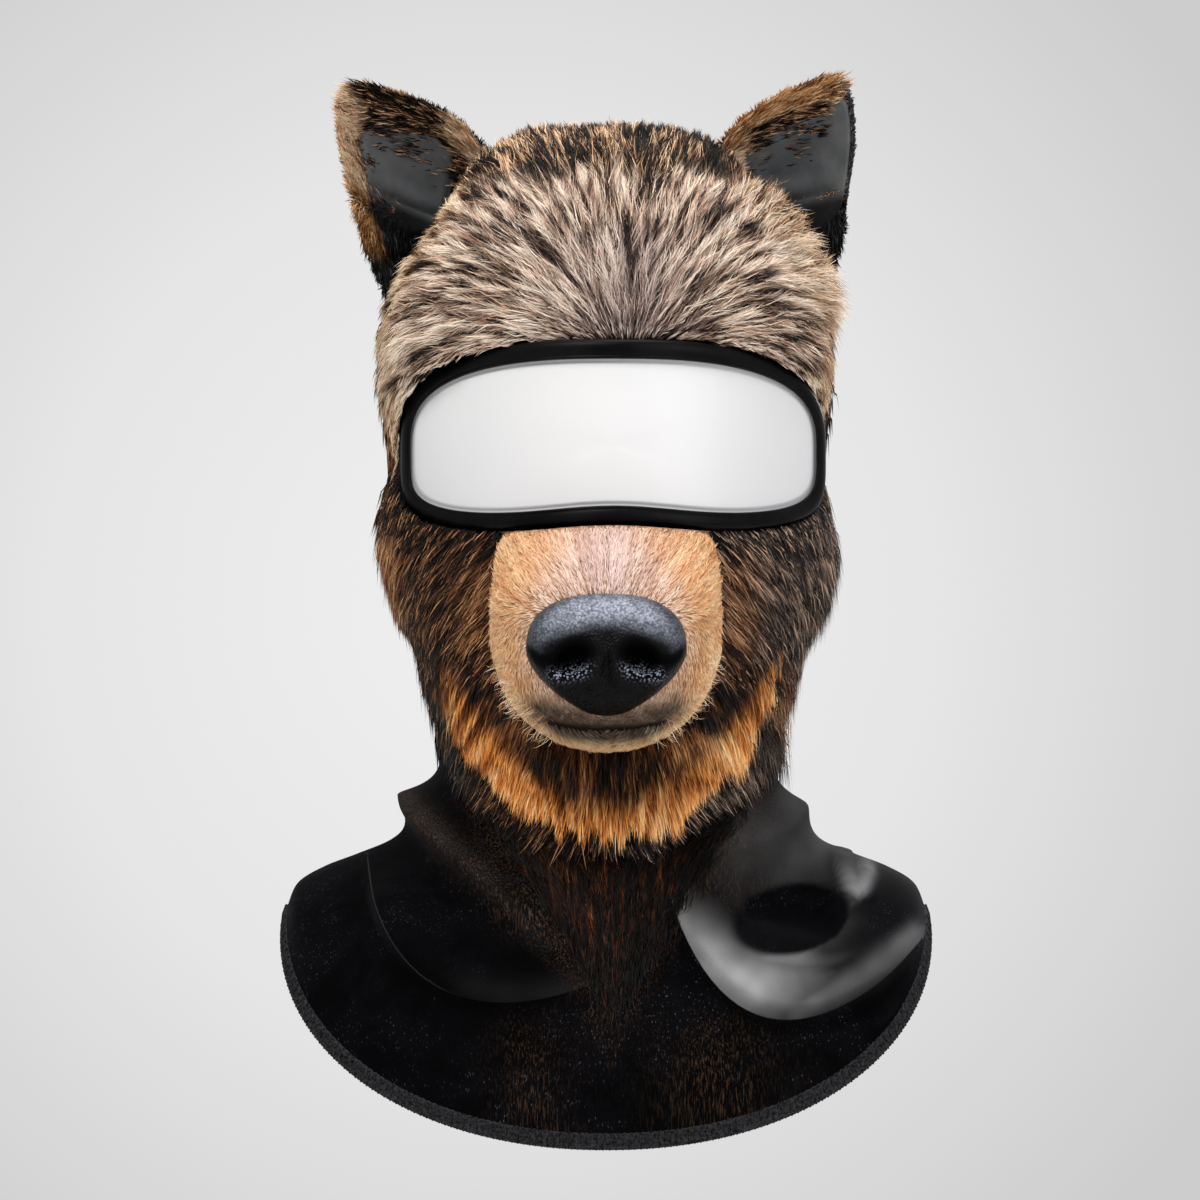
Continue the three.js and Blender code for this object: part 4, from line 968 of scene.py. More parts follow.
def buildBack():
    look = backLook
    rng = np.random.default_rng(look["seed"])

    def density(x, y, z):
        return smooth((y + 28 * mm) / (22 * mm))

    angle, share = scatterRoots(hoodSurface, (1.0, 2 * math.pi - 1.0), (0.004, 1), look["count"], density, rng)
    roots, normals = hoodSurface(angle, share), surfaceNormals(hoodSurface, angle, share)
    high = smooth((roots[:, 2] + 40 * mm) / (30 * mm))

    def toneAt(points, chance, lock):
        value = 0.4 + streaks(roundPlace(points), look, chance, lock)
        crown = smooth((points[:, 2] + 36 * mm) / (24 * mm))
        return mix(pickTone(pileTones["pelt"], value), pickTone(pileTones["crown"], value), crown[:, None])

    toSide = smooth((30 * mm - roots[:, 1]) / (30 * mm))
    look = dict(look, length=mix(mix(20, 13, toSide), 9, high) * mm, lift=mix(mix(0.28, 0.2, toSide), 0.4, high),
                droop=0.1, sway=0.1, bend=0.22)
    fur = growFur("fur_back", roots, normals, pileFlow(roots, normals), look, roundPlace, toneAt, rng)
    place(fur, "brown_fur", furFinish)


buildForehead()
buildCheeks()
buildBack()


# Muzzle: a padded form with its short pile

muzzleLook = {"columns": 96, "rows": 60, "count": 38000, "width": 0.37 * mm, "lock": (2.2 * mm, 8 * mm),
              "gather": 0.35, "seed": 14, "spot": (2.2 * mm, 7 * mm), "fine": (0.6 * mm, 5 * mm),
              "gains": (0.3, 0.45, 0.3, 0.2), "inset": 2 * mm, "cut": 1.03}
padSize = {key: value - muzzleLook["inset"] if key in ("halfWidth", "rise", "fall", "length") else value
           for key, value in muzzleSize.items()}
padSize["rise"] += 5 * mm
padSize["squareness"] = (3.1, 2.1)
muzzleTones = {
    "beige": [tone(150, 108, 82), tone(232, 188, 156), tone(255, 232, 212)],
    "mauve": [tone(146, 114, 107), tone(210, 182, 176), tone(238, 216, 210)],
    "golden": [tone(150, 90, 46), tone(222, 160, 106), tone(246, 208, 160)],
    "cream": [tone(176, 116, 64), tone(236, 180, 122), tone(255, 226, 184)],
    "lip": [tone(10, 10, 10), tone(50, 46, 42), tone(170, 156, 140)],
}


def padSurface(angle, share):
    # the muzzle's form, drawn in by about the depth of its pile
    return muzzleForm(padSize, angle, share)


def insideNose(x, z):
    # superellipse value, 1 on the nose's outline, which narrows downwards
    below = np.clip((noseSize["z"] - z) / noseSize["fall"], 0, 1)
    width = noseSize["halfWidth"] * (1 - noseSize["taper"] * below ** noseSize["taperPower"])
    reach = np.where(z > noseSize["z"], noseSize["rise"], noseSize["fall"])
    n = noseSize["squareness"][0]
    return (np.abs(x / width) ** n + np.abs((z - noseSize["z"]) / reach) ** n) ** (1 / n)


def muzzleFlow(points, normals):
    # fans from the top of the nose, runs round the sides and turns back where the form turns away
    x, y, z = np.moveaxis(points, -1, 0)
    away = unit(vectors(x, 0 * x, z - noseSize["z"] + 8 * mm))
    ring = unit(vectors(np.sign(x) * (z - noseSize["z"]), 0 * x, -np.abs(x) - 1 * mm))
    top = smooth((z - noseSize["z"] - 2 * mm) / (24 * mm))
    turned = smooth((0.6 + normals[:, 1]) / 0.4)
    flow = away * (0.5 + 0.5 * top)[:, None] + ring * (1.1 * (1 - top))[:, None]
    return onSurface(flow + vectors(0 * x, 1.6 * turned, 0 * x), normals)


def muzzlePlace(points):
    # across is the turn round the nose's top, along the distance from it
    x, y, z = np.moveaxis(points, -1, 0)
    return np.arctan2(x, z - noseSize["z"] + 8 * mm) * 40 * mm, np.hypot(x, z - noseSize["z"] + 8 * mm) - 0.6 * y


def muzzleTone(points, chance, lock):
    look = muzzleLook
    x, y, z = np.moveaxis(points, -1, 0)
    value = 0.62 + streaks(muzzlePlace(points), look, chance, lock)
    outer = smooth((np.hypot(x / (47 * mm), (z + 208 * mm) / (52 * mm)) - 0.6) / 0.25)
    colour = mix(pickTone(muzzleTones["beige"], value), pickTone(muzzleTones["golden"], value + 0.08), outer[:, None])
    bridge = np.exp(-((x / (22 * mm)) ** 2)) * smooth((z + 200 * mm) / (12 * mm))
    colour = mix(colour, pickTone(muzzleTones["mauve"], value), (bridge * 0.85)[:, None])
    # a cream rim round the lower sides and the chin
    rim = smooth((np.hypot(x / (46 * mm), (z + 206 * mm) / (47 * mm)) - 0.84) / 0.1)
    rim = rim * smooth((-200 * mm - z) / (14 * mm))
    colour = mix(colour, pickTone(muzzleTones["cream"], value + 0.1), (rim * 0.75)[:, None])
    # grey round the mouth and under the nose; below the mouth line it is darker, the lower lip's own grey with painted
    # shade under the upper lip
    lip = mouthSize["z"] + mouthSize["smile"] * (x / mouthSize["halfWidth"]) ** 2
    grey = np.exp(-(((z - lip - 3 * mm) / (6.5 * mm)) ** 2)) * smooth((38 * mm - np.abs(x)) / (12 * mm))
    below = np.exp(-(((z - lip + 3.6 * mm) / (4.4 * mm)) ** 2)) * smooth((27 * mm - np.abs(x)) / (12 * mm))
    grey = np.clip(grey + 0.9 * below, 0, 1)
    return mix(colour, pickTone(muzzleTones["lip"], value - 0.24), (grey * 0.93)[:, None])


def buildMuzzle():
    look = muzzleLook
    angle = np.arange(look["columns"]) * 2 * math.pi / look["columns"]
    share = np.linspace(0.02, 0.998, look["rows"] + 1)
    points = padSurface(angle[None, :], share[:, None])
    faces = gridFaces(len(share), len(angle))
    x, y, z = np.moveaxis(points.reshape(-1, 3), -1, 0)
    hidden = (y > faceDepth(x, z) + 2.5 * mm) | (visorRatio(x, z) < 1.02)
    hidden = hidden | ((insideNose(x, z) < 0.84) & (y < noseSize["root"]))
    # the faces that reach past the visor's outline end on it
    out = np.where(z > -180 * mm, np.maximum(1, muzzleLook["cut"] / np.maximum(visorRatio(x, z), 0.5)), 1)
    lip = mouthSize["z"] + mouthSize["smile"] * (x / mouthSize["halfWidth"]) ** 2
    # painted shade, black: along the mouth's groove, over the mouth's own dark line, and on the pad behind the nose
    # that the nostrils look onto
    darkening = smooth((30 * mm - np.abs(x)) / (8 * mm)) * np.exp(-(((z - lip + 1.5 * mm) / (5 * mm)) ** 2))
    darkening = np.maximum(darkening, (insideNose(x, z) < 0.97) & (y < noseSize["root"]))
    points = vectors(visorSize["x"] + (x - visorSize["x"]) * out, y, visorSize["z"] + (z - visorSize["z"]) * out)
    points, faces, darkening = onlyUsed(points, faces[~hidden[faces].all(1)], darkening)
    muzzle = makePiece("muzzle_pad", points, faces, masks={"darkening": darkening})
    place(muzzle, "tan_fur", tanBacking, "muzzle")

    rng = np.random.default_rng(look["seed"])

    def density(x, y, z):
        shown = (y < faceDepth(x, z) + 1 * mm) & (visorRatio(x, z) > 1.055)
        lip = mouthSize["z"] + mouthSize["smile"] * (x / mouthSize["halfWidth"]) ** 2
        mouth = (np.abs(z - lip) < 1.1 * mm) & (np.abs(x) < 28 * mm)
        clear = smooth((insideNose(x, z) - 0.9) / 0.04) + (y > noseSize["root"] + 3 * mm)
        return shown * ~mouth * np.clip(clear, 0, 1)

    angle, share = scatterRoots(padSurface, (0, 2 * math.pi), (0.12, 0.995), look["count"], density, rng)
    roots, normals = padSurface(angle, share), surfaceNormals(padSurface, angle, share)
    x, y, z = np.moveaxis(roots, -1, 0)
    lip = mouthSize["z"] + mouthSize["smile"] * (x / mouthSize["halfWidth"]) ** 2
    nearMouth = np.exp(-(((z - lip - 2.5 * mm) / (4 * mm)) ** 2)) * smooth((36 * mm - np.abs(x)) / (10 * mm))
    atRim = smooth((0.55 + normals[:, 1]) / 0.35) * smooth((-205 * mm - z) / (20 * mm))
    length = mix(2.6, 6.2, smooth((insideNose(x, z) - 1.0) / 0.6)) * mm
    length = length * (1 - 0.6 * nearMouth) * (1 - 0.45 * atRim)
    length = length * mix(0.14, 1, smooth((visorRatio(x, z) - 1.02) / 0.24))
    look = dict(look, length=length, lift=0.17, lockLift=0.1, sway=0.1, bend=0.2, rootShade=0.72)
    fur = growFur("fur_muzzle", roots, normals, muzzleFlow(roots, normals), look, muzzlePlace, muzzleTone, rng)
    place(fur, "tan_fur", furFinish)


whiskerLook = {"count": 240, "width": 0.2 * mm, "lock": (6 * mm, 12 * mm), "gather": 0.3, "seed": 18, "steps": 3,
               "length": 13 * mm, "lift": 0.5, "lay": 0.9, "bend": 0.5, "droop": 0.15, "rootShade": 0.8}


def buildWhiskers():
    # pale single hairs that stand off the muzzle's lower sides and the chin
    look = whiskerLook
    rng = np.random.default_rng(look["seed"])

    def density(x, y, z):
        low = smooth((-212 * mm - z) / (16 * mm)) * smooth((np.abs(x) - 16 * mm) / (16 * mm))
        outward = np.hypot(x / (46 * mm), (z + 206 * mm) / (47 * mm))
        return low * smooth((outward - 0.84) / 0.08) * (y < faceDepth(x, z))

    angle, share = scatterRoots(padSurface, (0, 2 * math.pi), (0.4, 0.95), look["count"], density, rng)
    roots, normals = padSurface(angle, share), surfaceNormals(padSurface, angle, share)
    x, y, z = np.moveaxis(roots, -1, 0)
    flows = onSurface(vectors(x / (47 * mm), 0.3 + 0 * x, (z + 206 * mm) / (60 * mm)), normals)

    def toneAt(points, chance, lock):
        return pickTone([tone(150, 96, 56), tone(236, 188, 136), tone(255, 232, 198)], 0.2 + 0.9 * chance)

    whiskers = growFur("muzzle_whiskers", roots, normals, flows, look, muzzlePlace, toneAt, rng)
    place(whiskers, "tan_fur", furFinish)


buildMuzzle()
buildWhiskers()


# Nose: moulded, with nostrils that curl outwards

noseLook = {"columns": 136, "rows": 76, "wing": 1.4 * mm, "groove": 1.3 * mm, "hole": 9 * mm, "tail": 3.4 * mm}


def nostrilShape(x, z):
    # the hole's round value and the strength of the tail that runs outwards from it
    side = (np.abs(x) - nostrilSize["spacing"]) / nostrilSize["halfWidth"]
    level = (z - nostrilSize["z"] + 1.6 * mm * side) / nostrilSize["halfHeight"]
    tailSide = (np.abs(x) - nostrilSize["spacing"] - 8 * mm) / (8 * mm)
    tailZ = nostrilSize["z"] - 1.5 * mm + 4 * mm * tailSide ** 2
    return np.hypot(side, level), np.exp(-(((z - tailZ) / (2.4 * mm)) ** 2) - tailSide ** 2)


def noseSurface(angle, share):
    # rounded pad that narrows downwards; each nostril is a hole with a tail that curls out and up,
    # a wing stands round it, and a groove runs down the middle
    point = forwardForm(noseSections, noseSize, angle, share)
    below = np.clip((noseSize["z"] - point[..., 2]) / noseSize["fall"], 0, 1)
    point[..., 0] *= 1 - noseSize["taper"] * below ** noseSize["taperPower"]
    x, z = point[..., 0], point[..., 2]
    ring, tail = nostrilShape(x, z)
    hole = smooth((1.15 - ring ** 2) / 0.75)
    wing = np.exp(-((ring - 1.5) / 0.42) ** 2)
    groove = np.exp(-((x / (1.6 * mm)) ** 2)) * smooth((noseSize["z"] + 2 * mm - z) / (8 * mm))
    push = noseLook["hole"] * hole + noseLook["tail"] * tail - noseLook["wing"] * wing + noseLook["groove"] * groove
    point[..., 1] += push * smooth(2 * share)
    return point


def buildNose():
    look = noseLook
    angle = np.arange(look["columns"]) * 2 * math.pi / look["columns"]
    share = 1 - (1 - np.linspace(0.0, 0.998, look["rows"] + 1)) ** 1.25
    points = closePole(noseSurface(angle[None, :], share[:, None]))
    x, y, z = np.moveaxis(points.reshape(-1, 3), -1, 0)
    ratio = insideNose(x, z)
    ring, tail = nostrilShape(x, z)
    # the crest is a band over the top that runs down both sides and ends above the nostrils: a painted highlight from
    # above, partly the hide's own pale tone
    arch = (z + 201 * mm + 8 * mm * (x / (26 * mm)) ** 2) / (10 * mm)
    brim = 0.8 * smooth((ratio - 0.74) / 0.14) * smooth((z + 217 * mm) / (12 * mm))
    crestToneAndSheen = np.maximum(smooth(0.4 + arch), brim)
    crestToneAndSheen = crestToneAndSheen * mix(0.35, 1, smooth((1.0 - ratio) / 0.2))
    crestToneAndSheen = crestToneAndSheen * mix(1, 0.5, smooth((np.abs(x) - 10 * mm) / (16 * mm)))
    # painted shade, near black, in and round the nostrils and along their tails
    hollow = np.clip(smooth((1.6 - ring) / 0.5) + smooth(2.6 * tail), 0, 1)
    # painted glints lie on the lower rims of the nostrils
    side = np.abs(x) - 14.5 * mm
    paintedGlint = 0.62 * np.exp(-((side / (8 * mm)) ** 4) - ((z + 220.5 * mm + 0.18 * side) / (2.6 * mm)) ** 2)
    faces = gridFaces(len(share) + 1, len(angle))
    nose = makePiece("nose_pad", points, faces, masks={"crestToneAndSheen": crestToneAndSheen, "hollow": hollow, "paintedGlint": paintedGlint})
    place(nose, "moulded_nose", noseFinish, "nose")


buildNose()
print("muzzle and nose made")


# Visor: frame and lens

visorLook = {"columns": 220, "lensRings": 8, "bevelAt": 1.2 * mm, "bevelWidth": 1.5 * mm, "bevelRise": 1.0 * mm}
# the frame's section from its outer edge at the rear round the front to its inner edge at the rear:
# a share of the way across the band, and how far behind the front face
frameSection = {
    "in": [0, 0, .012, .05, .11, .2, .35, .55, .7, .78, .82, .86, .92, .97, 1, 1],
    "back": [18, 5, 2.6, 1.1, .55, .1, -.15, -.1, .15, .3, .75, .2, .15, .7, 1.6, 2.9],
}


def visorLine(turn, share, extra=0.0):
    # a polar superellipse inside the bands: radius = (|cos|^n + |sin|^n)^(-1/n)
    c, s = np.cos(turn), np.sin(turn)
    n = np.where(s > 0, visorSize["topSquareness"], visorSize["bottomSquareness"])
    radius = (np.abs(c) ** n + np.abs(s) ** n) ** (-1 / n)
    topBand, sideBand, bottomBand = visorSize["bands"]
    x = (visorSize["halfWidth"] - sideBand * share + extra) * radius * c
    reach = np.where(s > 0, visorSize["rise"] - topBand * share + extra, visorSize["fall"] - bottomBand * share + extra)
    arch = np.where(s < 0, visorSize["arch"] * np.exp(-((x / visorSize["archWidth"]) ** 2)) * smooth(-s), 0)
    return x, visorSize["z"] + reach * radius * s + arch


def buildFrame():
    turn = -np.arange(visorLook["columns"]) * 2 * math.pi / visorLook["columns"]
    across = np.array(frameSection["in"] + [1, 1])[:, None]
    back = np.array(frameSection["back"] + [2.9, 18])[:, None] * mm
    extra = np.array([0.0] * len(frameSection["in"]) + [visorSize["seat"]] * 2)[:, None]
    x, z = visorLine(turn[None, :], across, extra)
    deep = np.where(back > 10 * mm, 1 + visorSize["wrap"] * (x / visorSize["halfWidth"]) ** 2, 1)
    points = vectors(visorSize["x"] + x, visorFront(x) + back * deep, z)
    faces = gridFaces(points.shape[0], points.shape[1], True, True)
    piece = makePiece("visor_frame_finished", points, faces)
    place(piece, "visor_frame", frameFinish, "visor_frame")


def buildLens():
    # rings from the rear's middle out to the hidden rim and in over the bevel to the front's middle
    look = visorLook
    turn = -np.arange(look["columns"]) * 2 * math.pi / look["columns"]
    edge = np.array([0.0, 0.0, .8, 1.2, 1.45, 1.9, 2.5, 2.85, 3.2]) * mm
    x0, z0 = visorLine(turn[None, :], 1, visorSize["seat"] - 0.5 * mm - edge[:, None])
    inner = np.linspace(0.93, 0.01, look["lensRings"])[:, None]
    x1, z1 = x0[-1] * inner, visorSize["z"] + (z0[-1] - visorSize["z"]) * inner
    x, z = np.concatenate([x0, x1]), np.concatenate([z0, z1])
    depth = np.concatenate([edge, np.full(look["lensRings"], 9 * mm)])[:, None]
    rise = look["bevelRise"] * smooth((depth - look["bevelAt"]) / look["bevelWidth"])
    rise = rise - (visorSize["lens"] - 1 * mm) * (np.arange(len(depth)) == 0)[:, None]
    front = vectors(visorSize["x"] + x, visorFront(x) + visorSize["setBack"] + 1.0 * mm - rise, z)
    rear = front[0][None] * inner[:, :, None] + front[0].mean(0) * (1 - inner[:, :, None])
    rear[..., 1] = visorFront(rear[..., 0] - visorSize["x"]) + visorSize["setBack"] + visorSize["lens"]
    points = closePole(np.concatenate([closePole(rear)[::-1], front]))
    x, z = points[..., 0] - visorSize["x"], points[..., 2]
    # painted shade: greyer towards the foot and towards the ends, the right end most
    ends = smooth((x - 10 * mm) / (80 * mm)) + smooth((-x - 66 * mm) / (22 * mm))
    foot = smooth((visorSize["z"] + 30 * mm - z) / (60 * mm))
    shade = np.clip(0.6 * foot + 0.6 * ends, 0, 1)
    lens = makePiece("lens_pearl", points, gridFaces(points.shape[0], points.shape[1]), masks={"shade": shade})
    place(lens, "visor_lens", lensFinish, "visor_lens")


buildFrame()
buildLens()
print("visor made")


# Ears: a bent cup with its pile, and the smooth lining in its front

earLook = {"columns": 64, "rows": 18, "width": 0.55 * mm, "lock": (3.6 * mm, 9 * mm), "gather": 0.55, "seed": 15,
           "crease": 2.2 * mm, "spot": (2.2 * mm, 7 * mm), "fine": (0.8 * mm, 6 * mm), "gains": (0.6, 0.8, 1.1, 0.5),
           "rare": 3, "backCount": 8000, "frontCount": 15000, "clothOut": 0.14}
earTones = {
    "band": [tone(11, 9, 9), tone(22, 17, 15), tone(44, 30, 24), tone(150, 104, 70), tone(242, 196, 152)],
    "fringe": [tone(84, 54, 34), tone(178, 130, 92), tone(240, 196, 154), tone(255, 230, 198)],
    "orange": [tone(80, 44, 20), tone(172, 108, 52), tone(228, 166, 100), tone(246, 206, 154)],
    "ragged": [tone(8, 8, 9), tone(18, 18, 19), tone(36, 37, 39), tone(78, 80, 82)],
    "cloth": [tone(60, 62, 65), tone(80, 84, 88), tone(96, 99, 103), tone(112, 112, 112)],
    "outside": [tone(12, 10, 9), tone(28, 21, 17), tone(58, 42, 32), tone(120, 84, 58)],
}


def between(value, low, high, soft):
    # 1 between two values, with soft ends
    return smooth((value - low) / soft + 0.5) * smooth((high - value) / soft + 0.5)


def earHeight(ear, x, z):
    # how far a place lies above the ear's crease
    return z - earSize["z"] - ear["creaseZ"] - ear["creaseSlope"] * (x - ear["side"] * earSize["x"])


def earFrontTones(ear, rim, reach, value, x, z):
    # what each part of the front shows, and how much of it is covered with pile
    ragged = smooth((-2 * mm - earHeight(ear, x, z)) / (5 * mm))
    if ear["side"] < 0:
        fringe = between(rim, 0.46, 0.95, 0.08) * smooth((reach - 0.74) / 0.14)
        orange = fringe * between(z, -46 * mm, -19 * mm, 10 * mm)
        tuft = between(rim, -0.1, 0.14, 0.05) * smooth((reach - 0.8) / 0.1)
        band = between(rim, -0.1, 0.5, 0.05) * smooth((reach - 0.52) / 0.06)
        cloth = 0 * rim
    else:
        fringe = between(rim, -0.1, 0.5, 0.05) * smooth((reach - 0.87 + 0.04 * (rim > 0.3)) / 0.05)
        orange = fringe * between(rim, 0.05, 0.45, 0.1)
        tuft = between(rim, -0.1, 0.12, 0.08) * smooth((reach - 0.6) / 0.1)
        band = between(rim, 0.1, 0.5, 0.05) * smooth((reach - 0.56) / 0.06)
        cloth = between(rim, 0.5, 0.82, 0.05) * smooth((reach - 0.93) / 0.04) * (1 - ragged)
    # a few hairs lie in tufts over the bare cloth
    few = 0.3 * smooth((latticeNoise(x / (7 * mm), z / (4 * mm), 0, 60) - 0.62) / 0.1) + 0.02
    pale = np.maximum(fringe, tuft) * (1 - ragged)
    colour = pickTone(earTones["band"], value + 0.3 * (1 - np.clip(band + ragged, 0, 1)))
    colour = mix(colour, pickTone(earTones["cloth"], 0.5 + 0.4 * value), cloth[:, None])
    colour = mix(colour, pickTone(earTones["ragged"], value), ragged[:, None])
    paleTone = pickTone(earTones["fringe"], value + (0.58 if ear["side"] < 0 else 0.4))
    colour = mix(colour, paleTone, smooth(1.6 * pale)[:, None])
    colour = mix(colour, pickTone(earTones["orange"], value + 0.3), (0.8 * orange)[:, None])
    return colour, np.clip(fringe + tuft + band + cloth + ragged + few, 0, 1)


def buildEarShell(ear):
    look = earLook
    front, back = earSurface(ear, 0), earSurface(ear, earSize["wall"])
    rim = np.linspace(0, 1, look["columns"])
    if ear["side"] > 0:
        rim = rim[::-1]
    reach = np.linspace(0.01, 1, look["rows"])
    ring = np.concatenate([rim, rim[::-1]])
    isBack = np.repeat([False, True], look["columns"])
    behind = back(ring[None, :], reach[:, None])
    points = np.where(isBack[None, :, None], behind, front(ring[None, :], reach[:, None]))
    middle = (points[-1] + points[-1][::-1]) / 2
    points = np.concatenate([points, middle[None]])[::-1]
    piece = makePiece("ear_shell_" + ear["name"], points, gridFaces(points.shape[0], points.shape[1]))
    place(piece, "brown_fur", darkBacking, "ear_" + ear["name"])


def buildEarLining(ear):
    # a patch with a crease across it; its edges sink into the pile
    look = earLook
    gap, wall = earSize["liningGap"], earSize["liningWall"]
    inner = earSurface(ear, -gap - wall)
    rim = np.linspace(earSize["liningInset"], 1 - earSize["liningInset"], 60)
    if ear["side"] > 0:
        rim = rim[::-1]
    # on the right ear the cloth runs out to the outer edge
    wide = between(rim, 0.5, 0.86, 0.12) * look["clothOut"] * (ear["side"] > 0)
    ending = earSize["liningReach"] + wide[None, :]
    reach = 0.01 + (ending - 0.01) * np.linspace(1, 0, 36)[:, None]
    points = inner(rim[None, :], reach)
    height = earHeight(ear, points[..., 0], points[..., 2])
    crease = np.exp(-((height / look["crease"]) ** 2)) - 0.5 * np.exp(-(((height - 5 * mm) / (4 * mm)) ** 2))
    points[..., 1] += 2.4 * mm * crease * smooth((ending - reach) / 0.15)
    sunk = smooth((reach - ending + 0.08) / 0.08) * (1 - 0.6 * wide / look["clothOut"])
    sunk = sunk + smooth((np.abs(rim - 0.5) - 0.34) / 0.06)[None, :]
    points[..., 1] += 2.2 * mm * np.clip(sunk, 0, 1)
    darkening = smooth((1 * mm - height) / (6 * mm)) * 0.95
    lining = makePiece("ear_lining_cloth_" + ear["name"], points, gridFaces(*points.shape[:2], wrapAcross=False),
                       masks={"darkening": darkening})
    solidify(lining, wall)
    place(lining, "ear_lining", liningFinish, "ear_lining_" + ear["name"])


def buildEarPile(ear, part, surface, count, low):
    look = earLook
    rng = np.random.default_rng(look["seed"] + ear["side"] + len(part))
    rim, reach = scatterRoots(surface, (0, 1), (low, 1), count, evenly, rng, (90, 40))
    roots = surface(rim, reach)
    if part == "front":
        # over the lining the pile is rooted on its face
        roots[:, 1] -= (earSize["liningGap"] + earSize["liningWall"]) * smooth((0.97 - reach) / 0.12)
    normals = surfaceNormals(surface, rim, reach)
    normals = normals * (np.sign(np.mean(normals[:, 1])) * (1 if part == "back" else -1))
    x, y, z = np.moveaxis(roots, -1, 0)

    def earPlace(points):
        # across and along for pile that leans outwards and a little up
        x, y, z = np.moveaxis(points, -1, 0)
        return z - 0.3 * np.abs(x), np.abs(x) + 0.3 * z

    outward = onSurface(surface(rim, np.minimum(reach + 2e-3, 1.002)) - surface(rim, reach - 2e-3), normals)
    if part == "back":
        keep = np.full(count, True)
        flows = outward
        length = mix(8, 4.6, smooth((reach - 0.55) / 0.2)) * mm
        if ear["side"] > 0:
            length = length * mix(1, 0.3, between(rim, 0.5, 0.85, 0.06) * smooth((reach - 0.86) / 0.06))

        def toneAt(points, chance, lock):
            pattern = streaks(earPlace(points), look, chance, lock)
            colour = pickTone(earTones["outside"], 0.4 + pattern)
            edge = smooth((reach - 0.8) / 0.08)
            last = smooth((reach - 0.92) / 0.05)
            if ear["side"] > 0:
                orange = pickTone(earTones["orange"], 0.7 + pattern)
                cloth = pickTone(earTones["cloth"], 0.7 + 0.4 * pattern)
                colour = mix(colour, orange, (edge * between(rim, 0.0, 0.5, 0.06))[:, None])
                return mix(colour, cloth, (last * between(rim, 0.5, 0.84, 0.06))[:, None])
            fringe = pickTone(earTones["fringe"], 0.75 + pattern)
            orange = pickTone(earTones["orange"], 0.6 + pattern)
            colour = mix(colour, fringe, (edge * between(rim, 0.28, 0.66, 0.1))[:, None])
            return mix(colour, orange, (edge * between(rim, 0.66, 0.86, 0.1))[:, None])
    else:
        covered = earFrontTones(ear, rim, reach, 0 * rim + 0.5, x, z)[1]
        keep = rng.random(count) < covered
        lean = vectors(np.full(count, float(ear["side"])), 0 * x, 0.3 + 0 * x)
        lower = smooth((-3 * mm - earHeight(ear, x, z)) / (8 * mm))[:, None]
        lean = lean * (1 - lower) + vectors(ear["side"] * (0.6 + 0 * x), 0 * x, -1 + 0 * x) * lower
        atEdge = smooth((reach - 0.8) / 0.15)[:, None]
        flows = onSurface(onSurface(lean, normals) + outward * (0.8 * atEdge), normals)
        length = mix(mix(6, 8.5, atEdge[:, 0]), 9, lower[:, 0]) * mm
        if ear["side"] > 0:
            length = length * mix(1, 0.3, between(rim, 0.5, 0.84, 0.05))

        def toneAt(points, chance, lock):
            value = 0.36 + streaks(earPlace(points), look, chance, lock)
            return earFrontTones(ear, rim[keep], reach[keep], value, points[:, 0], points[:, 2])[0]

    look = dict(look, length=length[keep], lift=0.22 if part == "back" else 0.2, lay=0.5, sway=0.14, bend=0.3)
    fur = growFur("fur_ear_" + part + "_" + ear["name"], roots[keep], normals[keep], flows[keep], look, earPlace, toneAt, rng)
    place(fur, "brown_fur", furFinish)


def evenly(x, y, z):
    return 1.0 + 0 * x


for ear in ears:
    buildEarShell(ear)
    buildEarLining(ear)
    buildEarPile(ear, "back", earSurface(ear, earSize["wall"]), earLook["backCount"], 0.12)
    buildEarPile(ear, "front", earSurface(ear, 0), earLook["frontCount"], 0.3)
print("ears made")


# Cape: one draped shell of velvet

capeLook = {"columns": 248, "rows": 82, "crowding": 0.45, "flat": (0.74, 0.17), "area": 0.087}


def capeAngles(count):
    even = np.arange(count) * 2 * math.pi / count
    return even - capeLook["crowding"] * np.sin(even)


# painted sheen of the cape: bent strokes like the folds, each with its strength at start, middle and end;
# inner and outer are its widths above and below the line
capeSheen = [
    {"x": (.257, .364, .59), "z": (.487, .651, .6), "inner": .075, "outer": .09, "strength": (.46, .76, .2)},
    {"x": (.563, .828, .95), "z": (.672, .568, .5), "inner": .03, "outer": .05, "strength": (.24, .16, .24)},
    {"x": (.19, .3, .42), "z": (.38, .62, .7), "inner": .05, "outer": .05, "strength": (.34, .6, .3)},
    {"x": (.471, .698, .753), "z": (.55, .547, .43), "inner": .02, "outer": .045, "strength": (.3, .34, .12)},
    {"x": (.71, .776, .825), "z": (.29, .46, .33), "inner": .04, "outer": .02, "strength": (.08, .5, .25)},
    {"x": (.34, .5, .66), "z": (.2, .3, .26), "inner": .12, "outer": .14, "strength": (.05, .1, .1)},
    {"x": (-.5, -.3, -.08), "z": (.6, .7, .63), "inner": .06, "outer": .04, "strength": (0, .02, .02)},
    {"x": (-.65, -.51, -.19), "z": (.13, .235, .5), "inner": .035, "outer": .035, "strength": (.04, .02, .01)},
]
# painted shade: the hollow over the right swag and the cloth beside it are kept black, free of painted sheen and print
capeShadedHollows = [
    {"x": 76.5 * mm, "z": -322.5 * mm, "halfWidth": 25 * mm, "halfHeight": 13.5 * mm, "tilt": 0.08,
     "soft": 0.2, "depth": 1},
    {"x": 104 * mm, "z": -325 * mm, "halfWidth": 22 * mm, "halfHeight": 8.5 * mm, "tilt": 0.42,
     "soft": 0.5, "depth": 0.85},
]


